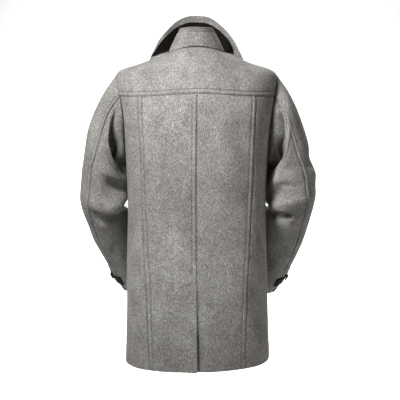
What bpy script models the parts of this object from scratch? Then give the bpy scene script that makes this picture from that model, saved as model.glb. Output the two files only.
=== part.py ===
"""Hip-length loden jacket, hollow as worn, made of separate sewn pieces.

Metres, +Z up. The wearer faces +Y and the wearer's right is +X, so the back faces -Y.
The origin is at the back of the neck seam, on the middle plane, above the body's axis.
"""
import math
from collections import namedtuple

import bmesh
import bpy
import numpy as np

# Driving dimensions of the cloth
WALL = 0.0022
LINING_WALL = 0.0010
SEAM_GAP = 0.0003
LAYER_GAP = 0.0015
FRONT_OVERLAP = 0.036
OVERLAP_RISE_ANGLE = 16.0
OVERLAP_RISE_SHARE = 0.75
OVERLAP_MARGIN_ANGLE = 1.0
VENT_UNDERLAP = 0.040
VENT_HEIGHT = 0.270
VENT_SLANT = 0.020
VENT_EDGE_ANGLE = 1.2

# Steps across and up the pieces
BACK_STEPS = 6
SIDE_STEPS = 5
FRONT_STEPS = 7
OVERLAP_STEPS = 3
VENT_STEPS = 3
LOW_STEPS = 4
HIGH_STEPS = 6
SHOULDER_STEPS = 3

# Armhole, an oval on the body between the armpit and the shoulder end, with even rows round it
ARMPIT_LEVEL = 0.580
SHOULDER_LEVEL = 0.800
ARMHOLE_MIDDLE = (ARMPIT_LEVEL + SHOULDER_LEVEL) / 2
ARMHOLE_HALF = (SHOULDER_LEVEL - ARMPIT_LEVEL) / 2
ARMHOLE_BACK_ANGLE = 15.5
ARMHOLE_FRONT_ANGLE = 19.0
ARMHOLE_FULLNESS = 0.60
ARMHOLE_ROWS = 10
YOKE_ROW = 7
YOKE_LEVEL = ARMHOLE_MIDDLE - ARMHOLE_HALF * math.cos(math.pi * YOKE_ROW / ARMHOLE_ROWS)
SIDE_SEAM_ANGLE = 90.0
SHOULDER_SEAM_ANGLE = 93.0
FRONT_ANGLE = 180.0

# Body rings from the hem to the neck seam. Level is the length up the centre back.
# Seam is the distance of the side back seam from the centre back.
# Lean moves a ring towards the wearer's right, and tilt lifts its right side.
Ring = namedtuple("Ring", "level half_width back front z_back z_side z_front power seam lean tilt")
BODY_RINGS = (
    Ring(0.000, 0.2040, 0.150, 0.152, -0.886, -0.881, -0.884, 2.60, 0.132, 0.003, 0.004),
    Ring(0.220, 0.1985, 0.148, 0.152, -0.664, -0.665, -0.664, 2.60, 0.138, 0.001, 0.001),
    Ring(0.430, 0.1930, 0.138, 0.140, -0.455, -0.455, -0.455, 2.60, 0.148, 0.001, 0.000),
    Ring(0.580, 0.1970, 0.146, 0.148, -0.306, -0.306, -0.306, 2.60, 0.153, 0.001, 0.000),
    Ring(0.690, 0.2075, 0.149, 0.136, -0.190, -0.193, -0.196, 2.55, 0.157, 0.002, 0.000),
    Ring(YOKE_LEVEL, 0.2150, 0.140, 0.118, -0.122, -0.137, -0.130, 2.30, 0.158, 0.002, 0.000),
    Ring(0.800, 0.2185, 0.126, 0.104, -0.082, -0.0760, -0.104, 1.80, 0.140, 0.000, 0.000),
    Ring(0.850, 0.1500, 0.102, 0.094, -0.040, -0.0495, -0.086, 1.90, 0.100, 0.000, 0.000),
    Ring(0.900, 0.0775, 0.072, 0.085, 0.000, -0.0185, -0.075, 2.00, 0.052, 0.000, 0.000),
)
HEM_LEVEL = BODY_RINGS[0].level
NECK_LEVEL = BODY_RINGS[-1].level

# Sleeve rings. Outer and inner are the lateral and medial points, x away from the body.
# Pitch turns a ring forward, and run is the length down the sleeve.
SleeveRing = namedtuple("SleeveRing", "run outer_x outer_z inner_x inner_z mid_y half_depth pitch")
LEFT_SLEEVE = (
    SleeveRing(0.06, 0.2585, -0.136, 0.2000, -0.330, -0.002, 0.071, 0.0),
    SleeveRing(0.15, 0.2975, -0.222, 0.1978, -0.352, -0.004, 0.070, 0.0),
    SleeveRing(0.26, 0.3200, -0.335, 0.1964, -0.385, -0.010, 0.064, 0.0),
    SleeveRing(0.31, 0.3235, -0.385, 0.1960, -0.420, -0.009, 0.062, 5.0),
    SleeveRing(0.36, 0.3240, -0.432, 0.2055, -0.452, -0.002, 0.060, 14.0),
    SleeveRing(0.45, 0.3045, -0.516, 0.1925, -0.500, 0.046, 0.056, 28.0),
    SleeveRing(0.53, 0.2770, -0.583, 0.1820, -0.566, 0.090, 0.051, 36.0),
    SleeveRing(0.61, 0.2505, -0.651, 0.1640, -0.634, 0.135, 0.047, 37.0),
    SleeveRing(0.68, 0.2230, -0.708, 0.1480, -0.694, 0.174, 0.044, 37.0),
)
RIGHT_SLEEVE = (
    SleeveRing(0.06, 0.2605, -0.138, 0.2015, -0.330, -0.002, 0.071, 0.0),
    SleeveRing(0.15, 0.2980, -0.230, 0.1995, -0.352, -0.006, 0.070, 0.0),
    SleeveRing(0.26, 0.3270, -0.336, 0.1985, -0.385, -0.012, 0.066, 0.0),
    SleeveRing(0.31, 0.3315, -0.380, 0.1980, -0.420, -0.010, 0.064, 4.0),
    SleeveRing(0.36, 0.3330, -0.420, 0.2020, -0.452, -0.004, 0.062, 12.0),
    SleeveRing(0.45, 0.3150, -0.512, 0.1935, -0.500, 0.042, 0.057, 26.0),
    SleeveRing(0.53, 0.2915, -0.585, 0.1880, -0.568, 0.084, 0.052, 35.0),
    SleeveRing(0.61, 0.2645, -0.655, 0.1740, -0.636, 0.127, 0.048, 36.0),
    SleeveRing(0.68, 0.2390, -0.709, 0.1580, -0.692, 0.162, 0.045, 36.0),
)
SLEEVE_ROWS = 21
SLEEVE_STEP = 180.0 / ARMHOLE_ROWS
FRONT_SEAM_ANGLE = -126.0

# Angle of the elbow seam at a run down the sleeve, from the yoke's corner over the back of the arm
SeamPlace = namedtuple("SeamPlace", "run angle")
ELBOW_SEAM = (
    SeamPlace(0.00, 54.0),
    SeamPlace(0.08, 66.0),
    SeamPlace(0.16, 68.0),
    SeamPlace(0.26, 60.0),
    SeamPlace(0.38, 56.0),
    SeamPlace(0.68, 54.0),
)

# Large folds of the sleeves, at a run down the sleeve and an angle round it
Fold = namedtuple("Fold", "run angle run_reach angle_reach depth")
LEFT_FOLDS = (
    Fold(0.080, 122.0, 0.050, 24.0, -0.0150),
    Fold(0.140, 146.0, 0.045, 22.0, -0.0190),
    Fold(0.130, 94.0, 0.070, 20.0, 0.0050),
    Fold(0.240, 104.0, 0.022, 40.0, 0.0030),
    Fold(0.292, 124.0, 0.030, 40.0, -0.0170),
    Fold(0.366, 118.0, 0.022, 42.0, 0.0080),
    Fold(0.402, 122.0, 0.014, 44.0, -0.0110),
)
RIGHT_FOLDS = (
    Fold(0.095, 124.0, 0.045, 24.0, -0.0150),
    Fold(0.145, 146.0, 0.042, 22.0, -0.0190),
    Fold(0.130, 92.0, 0.060, 20.0, 0.0050),
    Fold(0.228, 5.0, 0.022, 45.0, -0.0060),
    Fold(0.285, 5.0, 0.022, 45.0, 0.0025),
    Fold(0.255, 100.0, 0.030, 36.0, 0.0030),
    Fold(0.312, 132.0, 0.028, 26.0, -0.0140),
    Fold(0.352, 104.0, 0.022, 40.0, 0.0070),
    Fold(0.398, 128.0, 0.014, 44.0, -0.0110),
)

# Collar stand at the back of the neck, and the wide collar that rises in front
STAND_HALF_WIDTH = 0.047
STAND_BACK = 0.068
STAND_TOP_BACK = 0.052
STAND_TOP_SIDE = 0.046
STAND_TOP_POWER = 1.2
STAND_ROWS = 3
CollarEdge = namedtuple("CollarEdge", "angle x y z")
COLLAR_EDGE = (
    CollarEdge(93.0, 0.1290, 0.016, -0.0410),
    CollarEdge(112.0, 0.1220, 0.034, -0.0230),
    CollarEdge(134.0, 0.1000, 0.067, 0.0190),
    CollarEdge(152.0, 0.0620, 0.099, 0.0580),
    CollarEdge(166.0, 0.0300, 0.114, 0.0755),
    CollarEdge(180.0, 0.0000, 0.119, 0.0785),
)
COLLAR_ROWS = 5
COLLAR_BOW = 0.008
LINING_FOOT = 0.10
LINING_TOP = 0.88
LINING_START = 0.56
LINING_INSET = 0.03
LINING_GAP = 0.0016

# Straps near the cuffs, and buttons
STRAP_FIRST_ROW = 18
STRAP_LAST_ROW = 19
STRAP_START_ANGLE = -18.0
STRAP_END_ANGLE = 72.0
STRAP_WALL = 0.0028
STRAP_LIFT = 0.010
STRAP_LIFT_START = 0.2
STRAP_MARGIN = 0.12
BUTTON_RADIUS = 0.0125
BUTTON_HEIGHT = 0.0040
BUTTON_SIDES = 16
BUTTON_GAP = 0.0010
CUFF_BUTTON_RADIUS = 0.0095
FRONT_BUTTON_LEVELS = (0.330, 0.450, 0.570, 0.690)
# Shares of the radius and of the height, round a button's section from its back to its dished middle
BUTTON_PROFILE = ((0.0, 0.0), (0.86, 0.0), (1.0, 0.33), (0.94, 1.0), (0.72, 1.0), (0.60, 0.70), (0.0, 0.70))

# Colours as linear red, green and blue, with roughness
Finish = namedtuple("Finish", "colour roughness")
WOOL = Finish((0.205, 0.200, 0.190), 0.95)
LINING = Finish((0.020, 0.016, 0.013), 0.80)
LEATHER = Finish((0.014, 0.011, 0.009), 0.55)
HORN = Finish((0.030, 0.024, 0.019), 0.40)

# Steps of the differences that give normals
ANGLE_STEP = 0.5
LEVEL_STEP = 0.001
TURN_STEP = 2.0
RUN_STEP = 0.004
RISE_STEP = 0.02
SHARP_ANGLE = math.radians(40.0)


def clear_scene():
    for item in list(bpy.data.objects):
        bpy.data.objects.remove(item, do_unlink=True)


def material(name, finish):
    made = bpy.data.materials.new(name)
    made.use_nodes = True
    shader = made.node_tree.nodes["Principled BSDF"]
    shader.inputs["Base Color"].default_value = (*finish.colour, 1.0)
    shader.inputs["Roughness"].default_value = finish.roughness
    shader.inputs["Metallic"].default_value = 0.0
    return made


def smooth_step(value):
    held = min(max(value, 0.0), 1.0)
    return held * held * (3.0 - 2.0 * held)


def smooth_column(places, values, place):
    """Cubic curve through values at places, with slopes from the neighbours."""
    last = len(places) - 1
    spot = min(max(int(np.searchsorted(places, place, side="right")) - 1, 0), last - 1)
    span = places[spot + 1] - places[spot]
    part = (place - places[spot]) / span
    slopes = []
    for index in (spot, spot + 1):
        low = max(index - 1, 0)
        high = min(index + 1, last)
        slopes.append((values[high] - values[low]) / (places[high] - places[low]) * span)
    square = part * part
    cube = square * part
    return ((2 * cube - 3 * square + 1) * values[spot] + (cube - 2 * square + part) * slopes[0]
            + (3 * square - 2 * cube) * values[spot + 1] + (cube - square) * slopes[1])


RING_LEVELS = [ring.level for ring in BODY_RINGS]


def ring_at(level):
    """The body ring at a level, read from the smooth curves through the table."""
    columns = [smooth_column(RING_LEVELS, column, level) for column in list(zip(*BODY_RINGS))[1:]]
    return Ring(level, *columns)


def body_point(angle, level):
    """Outer point of the body. Angle 0 is the centre back, 90 the right side, 180 the front."""
    ring = ring_at(level)
    turn = math.radians(angle)
    sine = math.sin(turn)
    cosine = math.cos(turn)
    depth = ring.back if cosine > 0 else ring.front
    z_end = ring.z_back if cosine > 0 else ring.z_front
    reach = (abs(sine / ring.half_width) ** ring.power + abs(cosine / depth) ** ring.power)
    reach = reach ** (-1.0 / ring.power)
    side = reach * sine
    height = ring.z_side + (z_end - ring.z_side) * cosine * cosine + ring.tilt * side / ring.half_width
    return np.array((side + ring.lean, -reach * cosine, height))


def surface_normal(point_at, across, along, step_across, step_along, along_range):
    """Unit normal of a surface function, by differences that stay inside along_range."""
    low = max(along - step_along, along_range[0])
    high = min(along + step_along, along_range[1])
    tangent_across = point_at(across + step_across, along) - point_at(across - step_across, along)
    tangent_along = point_at(across, high) - point_at(across, low)
    normal = np.cross(tangent_across, tangent_along)
    return normal / np.linalg.norm(normal)


def body_normal(angle, level):
    return surface_normal(body_point, angle, level, ANGLE_STEP, LEVEL_STEP, (HEM_LEVEL, NECK_LEVEL))


def armhole_span(level):
    """Angles of the back and front armhole edges at a level."""
    place = (level - ARMHOLE_MIDDLE) / ARMHOLE_HALF
    centre = SIDE_SEAM_ANGLE + (SHOULDER_SEAM_ANGLE - SIDE_SEAM_ANGLE) * (place + 1) / 2
    width = max(1.0 - place * place, 0.0) ** ARMHOLE_FULLNESS
    return centre - ARMHOLE_BACK_ANGLE * width, centre + ARMHOLE_FRONT_ANGLE * width


def back_edge_angle(level):
    """Where the back pieces end at a level: side seam, armhole or shoulder seam."""
    if level <= ARMPIT_LEVEL:
        return SIDE_SEAM_ANGLE
    if level >= SHOULDER_LEVEL:
        return SHOULDER_SEAM_ANGLE
    return armhole_span(level)[0]


def front_edge_angle(level):
    """Where the front pieces begin at a level."""
    if level <= ARMPIT_LEVEL:
        return SIDE_SEAM_ANGLE
    if level >= SHOULDER_LEVEL:
        return SHOULDER_SEAM_ANGLE
    return armhole_span(level)[1]


def seam_angle(level):
    """Angle of the side back seam, from its distance to the centre back."""
    ring = ring_at(level)
    depth = ring.back * (1.0 - (ring.seam / ring.half_width) ** ring.power) ** (1.0 / ring.power)
    return math.degrees(math.atan2(ring.seam, depth))


def overlap_angle(level, width):
    return math.degrees(math.atan2(width, ring_at(level).front))


def armhole_level(row):
    """Levels up the armhole, spaced so that the sleeve's points are evenly turned."""
    return ARMHOLE_MIDDLE - ARMHOLE_HALF * math.cos(math.pi * row / ARMHOLE_ROWS)


def level_rows():
    """Levels shared by all the body pieces, so that seams meet point to point."""
    lower = spread(HEM_LEVEL, VENT_HEIGHT - VENT_SLANT, LOW_STEPS) + [VENT_HEIGHT]
    lower += spread(VENT_HEIGHT + VENT_SLANT, ARMPIT_LEVEL, HIGH_STEPS)
    armhole = [armhole_level(row) for row in range(1, ARMHOLE_ROWS)]
    upper = spread(SHOULDER_LEVEL, NECK_LEVEL, SHOULDER_STEPS)
    return lower + armhole + upper


def trimmed(grid, gap):
    """Draw the four edges of a grid of points in by half the seam gap."""
    made = grid.copy()
    for edge, inner in ((0, 1), (-1, -2)):
        step = grid[inner] - grid[edge]
        made[edge] += step / np.linalg.norm(step, axis=-1, keepdims=True) * gap
    side = made.copy()
    for edge, inner in ((0, 1), (-1, -2)):
        step = made[:, inner] - made[:, edge]
        side[:, edge] += step / np.linalg.norm(step, axis=-1, keepdims=True) * gap
    return side


def shell(name, outer, normals, wall, finish):
    """A closed cloth wall between a grid of points and the same grid moved in by the wall."""
    rows, columns = outer.shape[:2]
    inner = outer - normals * wall
    mesh = bpy.data.meshes.new(name)
    work = bmesh.new()
    faces_of = []
    for layer in (outer, inner):
        faces_of.append([[work.verts.new(layer[row, column]) for column in range(columns)]
                         for row in range(rows)])
    for layer in faces_of:
        for row in range(rows - 1):
            for column in range(columns - 1):
                work.faces.new((layer[row][column], layer[row][column + 1],
                                layer[row + 1][column + 1], layer[row + 1][column]))
    rim = [(0, column) for column in range(columns)]
    rim += [(row, columns - 1) for row in range(1, rows)]
    rim += [(rows - 1, column) for column in range(columns - 2, -1, -1)]
    rim += [(row, 0) for row in range(rows - 2, 0, -1)]
    for here, after in zip(rim, rim[1:] + rim[:1]):
        work.faces.new((faces_of[0][here[0]][here[1]], faces_of[0][after[0]][after[1]],
                        faces_of[1][after[0]][after[1]], faces_of[1][here[0]][here[1]]))
    bmesh.ops.recalc_face_normals(work, faces=work.faces)
    work.to_mesh(mesh)
    work.free()
    return placed(name, mesh, finish)


def placed(name, mesh, finish):
    mesh.shade_smooth()
    mesh.set_sharp_from_angle(angle=SHARP_ANGLE)
    made = bpy.data.objects.new(name, mesh)
    made.data.materials.append(material(name, finish))
    bpy.context.scene.collection.objects.link(made)
    return made


def body_grid(levels, angles_at, shift_at):
    """Points and normals of a body piece, from its angles and its shifts at each level."""
    points = []
    normals = []
    for level in levels:
        row_points = []
        row_normals = []
        for angle in angles_at(level):
            normal = body_normal(angle, level)
            row_points.append(body_point(angle, level) + shift_at(angle, level))
            row_normals.append(normal)
        points.append(row_points)
        normals.append(row_normals)
    return np.array(points), np.array(normals)


def no_shift(angle, level):
    return np.zeros(3)


def body_piece(name, levels, angles_at, shift_at=no_shift):
    points, normals = body_grid(levels, angles_at, shift_at)
    return shell(name, trimmed(points, SEAM_GAP / 2), normals, WALL, WOOL)


def spread(start, end, steps):
    return [start + (end - start) * step / steps for step in range(steps + 1)]


def vent_right_angles(level):
    """Angles across the right centre back, which runs on under the left one in the vent."""
    underlap = math.degrees(math.atan2(VENT_UNDERLAP, ring_at(level).back))
    near = spread(0.0, VENT_EDGE_ANGLE, VENT_STEPS)[:-1]
    if level < VENT_HEIGHT:
        near = [-underlap, -underlap / 2, near[-1]]
    return near + spread(VENT_EDGE_ANGLE, seam_angle(level), BACK_STEPS)


def vent_right_shift(angle, level):
    """In the vent the right centre back steps in by one layer beside the left one's edge."""
    if level > VENT_HEIGHT or angle >= VENT_EDGE_ANGLE:
        return np.zeros(3)
    return -body_normal(angle, level) * (WALL + LAYER_GAP)


def make_backs(levels):
    low_levels = [level for level in levels if level <= YOKE_LEVEL]
    body_piece("back_left", low_levels,
               lambda level: [-angle for angle in spread(0.0, seam_angle(level), BACK_STEPS)])
    body_piece("back_right", low_levels, vent_right_angles, vent_right_shift)


def make_sides(levels):
    low_levels = [level for level in levels if level <= YOKE_LEVEL]
    for side, name in ((-1, "side_left"), (1, "side_right")):
        body_piece(name, low_levels, lambda level, side=side: [
            side * angle for angle in spread(seam_angle(level), back_edge_angle(level), SIDE_STEPS)])


def yoke_angles(level):
    """Angles across the yoke, which meet those of the backs and sides at the yoke seam."""
    right = spread(0.0, seam_angle(level), BACK_STEPS)
    right += spread(seam_angle(level), back_edge_angle(level), SIDE_STEPS)[1:]
    return [-angle for angle in reversed(right[1:])] + right


def make_yoke(levels):
    body_piece("yoke", [level for level in levels if level >= YOKE_LEVEL], yoke_angles)


def front_angles(level):
    over = overlap_angle(level, FRONT_OVERLAP)
    main = spread(front_edge_angle(level), FRONT_ANGLE - over - OVERLAP_MARGIN_ANGLE, FRONT_STEPS)
    return main + spread(FRONT_ANGLE - over, FRONT_ANGLE + over, OVERLAP_STEPS)


def overlap_share(angle, level, side):
    """How far the left front has stepped out, from 0 to 1, to lie over the right one."""
    if side > 0:
        return 0.0
    start = FRONT_ANGLE - overlap_angle(level, FRONT_OVERLAP) - OVERLAP_RISE_ANGLE
    return smooth_step((abs(angle) - start) / (OVERLAP_RISE_ANGLE * OVERLAP_RISE_SHARE))


def neck_step(angle, side):
    """One layer's step out at the neck seam, square to the front and to the collar alike."""
    front_normal = body_normal(angle, NECK_LEVEL)
    collar_normal = surface_normal(collar_point, angle, 0.0, ANGLE_STEP, RISE_STEP, (0.0, 1.0))
    way = front_normal + collar_normal
    way /= min(np.dot(way, front_normal), np.dot(way, collar_normal))
    return way * (WALL + LAYER_GAP) * np.array((side, 1.0, 1.0))


def front_shift(angle, level, side):
    share = overlap_share(angle, level, side)
    if level >= NECK_LEVEL:
        return neck_step(abs(angle), side) * share
    return body_normal(angle, level) * (WALL + LAYER_GAP) * share


def make_fronts(levels):
    for side, name in ((-1, "front_left"), (1, "front_right")):
        body_piece(name, levels,
                   lambda level, side=side: [side * angle for angle in front_angles(level)],
                   lambda angle, level, side=side: front_shift(angle, level, side))


def armhole_point(side, turn):
    """Armhole edge at a turn of the sleeve: 0 at the shoulder, 90 at the back, 180 at the armpit."""
    row = (180.0 - abs((turn + 180.0) % 360.0 - 180.0)) / SLEEVE_STEP
    level = armhole_level(row)
    edges = armhole_span(level)
    angle = edges[0] if math.sin(math.radians(turn)) > 0 else edges[1]
    return body_point(side * angle, level)


def ring_point(side, ring, turn):
    """Point of a sleeve ring at a turn: 0 lateral, 90 back, 180 medial."""
    turned = math.radians(turn)
    outer = np.array((side * ring.outer_x, ring.mid_y, ring.outer_z))
    inner = np.array((side * ring.inner_x, ring.mid_y, ring.inner_z))
    pitch = math.radians(ring.pitch)
    back = np.array((0.0, -math.cos(pitch), -math.sin(pitch)))
    return ((outer + inner) / 2 + (outer - inner) / 2 * math.cos(turned)
            + back * ring.half_depth * math.sin(turned))


def sleeve_surface(side):
    """The function from turn and run to a point on a sleeve's outer face."""
    rings = LEFT_SLEEVE if side < 0 else RIGHT_SLEEVE
    folds = LEFT_FOLDS if side < 0 else RIGHT_FOLDS
    runs = [0.0] + [ring.run for ring in rings]

    def point_at(turn, run):
        stations = [armhole_point(side, turn)] + [ring_point(side, ring, turn) for ring in rings]
        point = np.array([smooth_column(runs, column, run) for column in zip(*stations)])
        middle = np.array([smooth_column(runs, column, run) for column in zip(
            *([(stations[0] + armhole_point(side, turn + 180.0)) / 2]
              + [(ring_point(side, ring, 0.0) + ring_point(side, ring, 180.0)) / 2 for ring in rings]))])
        swell = 0.0
        for fold in folds:
            around = (turn - fold.angle + 180.0) % 360.0 - 180.0
            swell += fold.depth * math.exp(-((run - fold.run) / fold.run_reach) ** 2
                                           - (around / fold.angle_reach) ** 2)
        outward = point - middle
        return point + outward / np.linalg.norm(outward) * swell

    return point_at, runs[-1]


def sleeve_grid(side, turns_at, runs):
    """Points and outward normals of a stretch of sleeve, from its turns at each run."""
    point_at, length = sleeve_surface(side)
    points = np.array([[point_at(turn, run) for turn in turns_at(run)] for run in runs])
    normals = np.array([[side * surface_normal(point_at, turn, run, TURN_STEP, RUN_STEP, (0.0, length))
                         for turn in turns_at(run)] for run in runs])
    return points, normals


def elbow_seam_angle(run):
    return smooth_column([place.run for place in ELBOW_SEAM], [place.angle for place in ELBOW_SEAM], run)


def sleeve_runs(side):
    return spread(0.0, sleeve_surface(side)[1], SLEEVE_ROWS - 1)


def upper_turns(run):
    return spread(FRONT_SEAM_ANGLE, elbow_seam_angle(run), ARMHOLE_ROWS)


def under_turns(run):
    return spread(elbow_seam_angle(run), FRONT_SEAM_ANGLE + 360.0, ARMHOLE_ROWS)


def make_sleeves():
    for side, side_name in ((-1, "left"), (1, "right")):
        for part, turns_at in (("upper", upper_turns), ("under", under_turns)):
            points, normals = sleeve_grid(side, turns_at, sleeve_runs(side))
            shell(f"sleeve_{side_name}_{part}", trimmed(points, SEAM_GAP), normals, WALL, WOOL)


def stand_point(angle, rise):
    """Point of the collar stand. Rise is 0 at the neck seam and 1 at the top edge."""
    base = body_point(angle, NECK_LEVEL)
    turn = math.radians(angle)
    cosine = max(math.cos(turn), 0.0)
    top = np.array((STAND_HALF_WIDTH * math.sin(turn), -STAND_BACK * math.cos(turn),
                    STAND_TOP_SIDE + (STAND_TOP_BACK - STAND_TOP_SIDE) * cosine ** STAND_TOP_POWER))
    return base + (top - base) * rise


def grid_normals(points):
    """Normals of a grid of points by differences along its rows and columns."""
    along = np.gradient(points, axis=0)
    across = np.gradient(points, axis=1)
    normals = np.cross(across, along)
    return normals / np.linalg.norm(normals, axis=-1, keepdims=True)


def make_stand():
    angles = yoke_angles(NECK_LEVEL)
    rises = spread(0.0, 1.0, STAND_ROWS)
    points = np.array([[stand_point(angle, rise) for angle in angles] for rise in rises])
    shell("collar_stand", trimmed(points, SEAM_GAP / 2), grid_normals(points), WALL, WOOL)


EDGE_ANGLES = [edge.angle for edge in COLLAR_EDGE]


def collar_top(angle):
    """Top edge of the wide collar at an angle round the neck, mirrored past the front."""
    folded = angle if angle <= FRONT_ANGLE else 2 * FRONT_ANGLE - angle
    x, y, z = (smooth_column(EDGE_ANGLES, column, folded) for column in list(zip(*COLLAR_EDGE))[1:])
    return np.array((x if angle <= FRONT_ANGLE else -x, y, z))


def collar_point(angle, rise):
    """Point of the right half of the wide collar, bowed outward between its edges."""
    base = body_point(angle, NECK_LEVEL)
    top = collar_top(angle)
    away = np.array((math.sin(math.radians(angle)), -math.cos(math.radians(angle)), 0.0))
    bow = COLLAR_BOW * max(-math.cos(math.radians(angle)), 0.0)
    return base + (top - base) * rise + away * bow * math.sin(math.pi * rise)


def collar_grid(side, angles, rises):
    """Points and outward normals of one half of the wide collar, the left one over the right."""
    points = np.array([[collar_point(angle, rise) for angle in angles] for rise in rises])
    normals = grid_normals(points)
    shares = np.array([overlap_share(angle, NECK_LEVEL, side) for angle in angles])
    steps = normals * (WALL + LAYER_GAP)
    steps[0] = [neck_step(angle, 1) for angle in angles]
    points += steps * shares[None, :, None]
    flip = np.array((side, 1.0, 1.0))
    return points * flip, normals * flip


def between(grid, rows, columns):
    """Values of a grid at fractional rows and columns, straight between its points."""
    def taken(values, places):
        low = np.minimum(np.floor(places).astype(int), len(values) - 2)
        part = (np.array(places) - low)[:, None, None]
        return values[low] * (1 - part) + values[low + 1] * part
    by_row = taken(grid, rows)
    return taken(by_row.transpose(1, 0, 2), columns).transpose(1, 0, 2)


def make_collars():
    """The two halves of the wide collar, each with a lining on its inner face."""
    rises = spread(0.0, 1.0, COLLAR_ROWS)
    angles = front_angles(NECK_LEVEL)
    lining_rows = [LINING_FOOT * COLLAR_ROWS] + list(range(1, COLLAR_ROWS)) + [LINING_TOP * COLLAR_ROWS]
    for side, name in ((-1, "left"), (1, "right")):
        points, normals = collar_grid(side, angles, rises)
        points = trimmed(points, SEAM_GAP / 2)
        shell(f"collar_front_{name}", points, normals, WALL, WOOL)
        last = (FRONT_STEPS if side < 0 else len(angles) - 1) - LINING_INSET
        columns = [LINING_START] + list(range(math.ceil(LINING_START), math.ceil(last))) + [last]
        inside = between(points - normals * (WALL + LINING_GAP), lining_rows, columns)
        shell(f"collar_lining_{name}", inside, between(normals, lining_rows, columns),
              LINING_WALL, LINING)


def make_straps():
    for side, name in ((-1, "left"), (1, "right")):
        runs = sleeve_runs(side)
        start = runs[STRAP_FIRST_ROW]
        end = runs[STRAP_LAST_ROW]
        margin = (end - start) * STRAP_MARGIN
        turns = spread(STRAP_START_ANGLE, STRAP_END_ANGLE,
                       round((STRAP_END_ANGLE - STRAP_START_ANGLE) / SLEEVE_STEP))
        points, normals = sleeve_grid(side, lambda run: turns, spread(start + margin, end - margin, 2))
        rises = np.array([smooth_step(-turn / SLEEVE_STEP + STRAP_LIFT_START) for turn in turns])
        lift = LAYER_GAP + STRAP_WALL + STRAP_LIFT * rises
        shell(f"cuff_strap_{name}", points + normals * lift[None, :, None], normals,
              STRAP_WALL, LEATHER)


def button(name, place, facing, radius):
    """A dished round button, turned about its axis, with its back on the cloth."""
    facing = facing / np.linalg.norm(facing)
    first = np.cross(facing, (0.0, 0.0, 1.0))
    first /= np.linalg.norm(first)
    second = np.cross(facing, first)
    work = bmesh.new()
    rings = []
    for radius_share, height_share in BUTTON_PROFILE:
        reach = radius * radius_share
        middle = place + facing * (height_share * BUTTON_HEIGHT + BUTTON_GAP)
        if reach == 0.0:
            rings.append([work.verts.new(middle)])
            continue
        turns = [2 * math.pi * index / BUTTON_SIDES for index in range(BUTTON_SIDES)]
        rings.append([work.verts.new(middle + (first * math.cos(turn) + second * math.sin(turn)) * reach)
                      for turn in turns])
    for low, high in zip(rings, rings[1:]):
        for index in range(BUTTON_SIDES):
            after = (index + 1) % BUTTON_SIDES
            corners = []
            for corner in (low[index % len(low)], low[after % len(low)],
                           high[after % len(high)], high[index % len(high)]):
                if corner not in corners:
                    corners.append(corner)
            work.faces.new(corners)
    bmesh.ops.recalc_face_normals(work, faces=work.faces)
    mesh = bpy.data.meshes.new(name)
    work.to_mesh(mesh)
    work.free()
    placed(name, mesh, HORN)


def make_buttons():
    for number, level in enumerate(FRONT_BUTTON_LEVELS, start=1):
        normal = body_normal(FRONT_ANGLE, level)
        place = body_point(FRONT_ANGLE, level) + normal * (WALL + LAYER_GAP)
        button(f"front_button_{number}", place, normal, BUTTON_RADIUS)
    for side, name in ((-1, "left"), (1, "right")):
        runs = sleeve_runs(side)
        middle = (runs[STRAP_FIRST_ROW] + runs[STRAP_LAST_ROW]) / 2
        points, normals = sleeve_grid(side, lambda run: [SLEEVE_STEP], [middle])
        normal = normals[0, 0]
        button(f"cuff_button_{name}", points[0, 0] + normal * (LAYER_GAP + STRAP_WALL), normal,
               CUFF_BUTTON_RADIUS)


def main():
    clear_scene()
    levels = level_rows()
    make_backs(levels)
    make_sides(levels)
    make_yoke(levels)
    make_fronts(levels)
    make_sleeves()
    make_stand()
    make_collars()
    make_straps()
    make_buttons()


main()
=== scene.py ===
"""Looks of the loden jacket: thin wool shells on the solids' forms, with seams, stitches and creases.

Metres, in the frame of the solids: +Z up, the wearer faces +Y, the wearer's right is +X.
"""
import math
from collections import namedtuple

import bpy
import numpy as np
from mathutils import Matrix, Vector


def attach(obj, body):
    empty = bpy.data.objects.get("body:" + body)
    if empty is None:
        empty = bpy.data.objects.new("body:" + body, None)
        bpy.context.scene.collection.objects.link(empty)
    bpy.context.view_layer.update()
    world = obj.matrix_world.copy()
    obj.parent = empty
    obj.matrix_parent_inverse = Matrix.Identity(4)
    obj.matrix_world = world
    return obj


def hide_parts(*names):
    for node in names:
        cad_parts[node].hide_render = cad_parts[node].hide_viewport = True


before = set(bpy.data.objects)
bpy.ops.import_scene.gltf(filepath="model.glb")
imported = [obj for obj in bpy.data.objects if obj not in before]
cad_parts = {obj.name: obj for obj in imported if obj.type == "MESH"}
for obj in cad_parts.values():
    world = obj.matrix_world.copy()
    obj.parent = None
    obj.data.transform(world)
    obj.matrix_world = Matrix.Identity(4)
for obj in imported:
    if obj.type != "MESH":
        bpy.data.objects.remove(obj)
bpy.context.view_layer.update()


def table(kind, *rows):
    """Rows of values, each with its columns named."""
    return tuple(kind(*row) for row in rows)


# Cloth sizes, as in the solids
WALL = 0.0022
LINING_WALL = 0.0010
LAYER_GAP = 0.0015
LINING_GAP = 0.0016
SEAM_GAP = 0.0003
FRONT_OVERLAP = 0.036
OVERLAP_RISE_ANGLE = 16.0
VENT_UNDERLAP = 0.040
VENT_HEIGHT = 0.270
VENT_SLANT = 0.020
VENT_EDGE_ANGLE = 1.2

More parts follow.
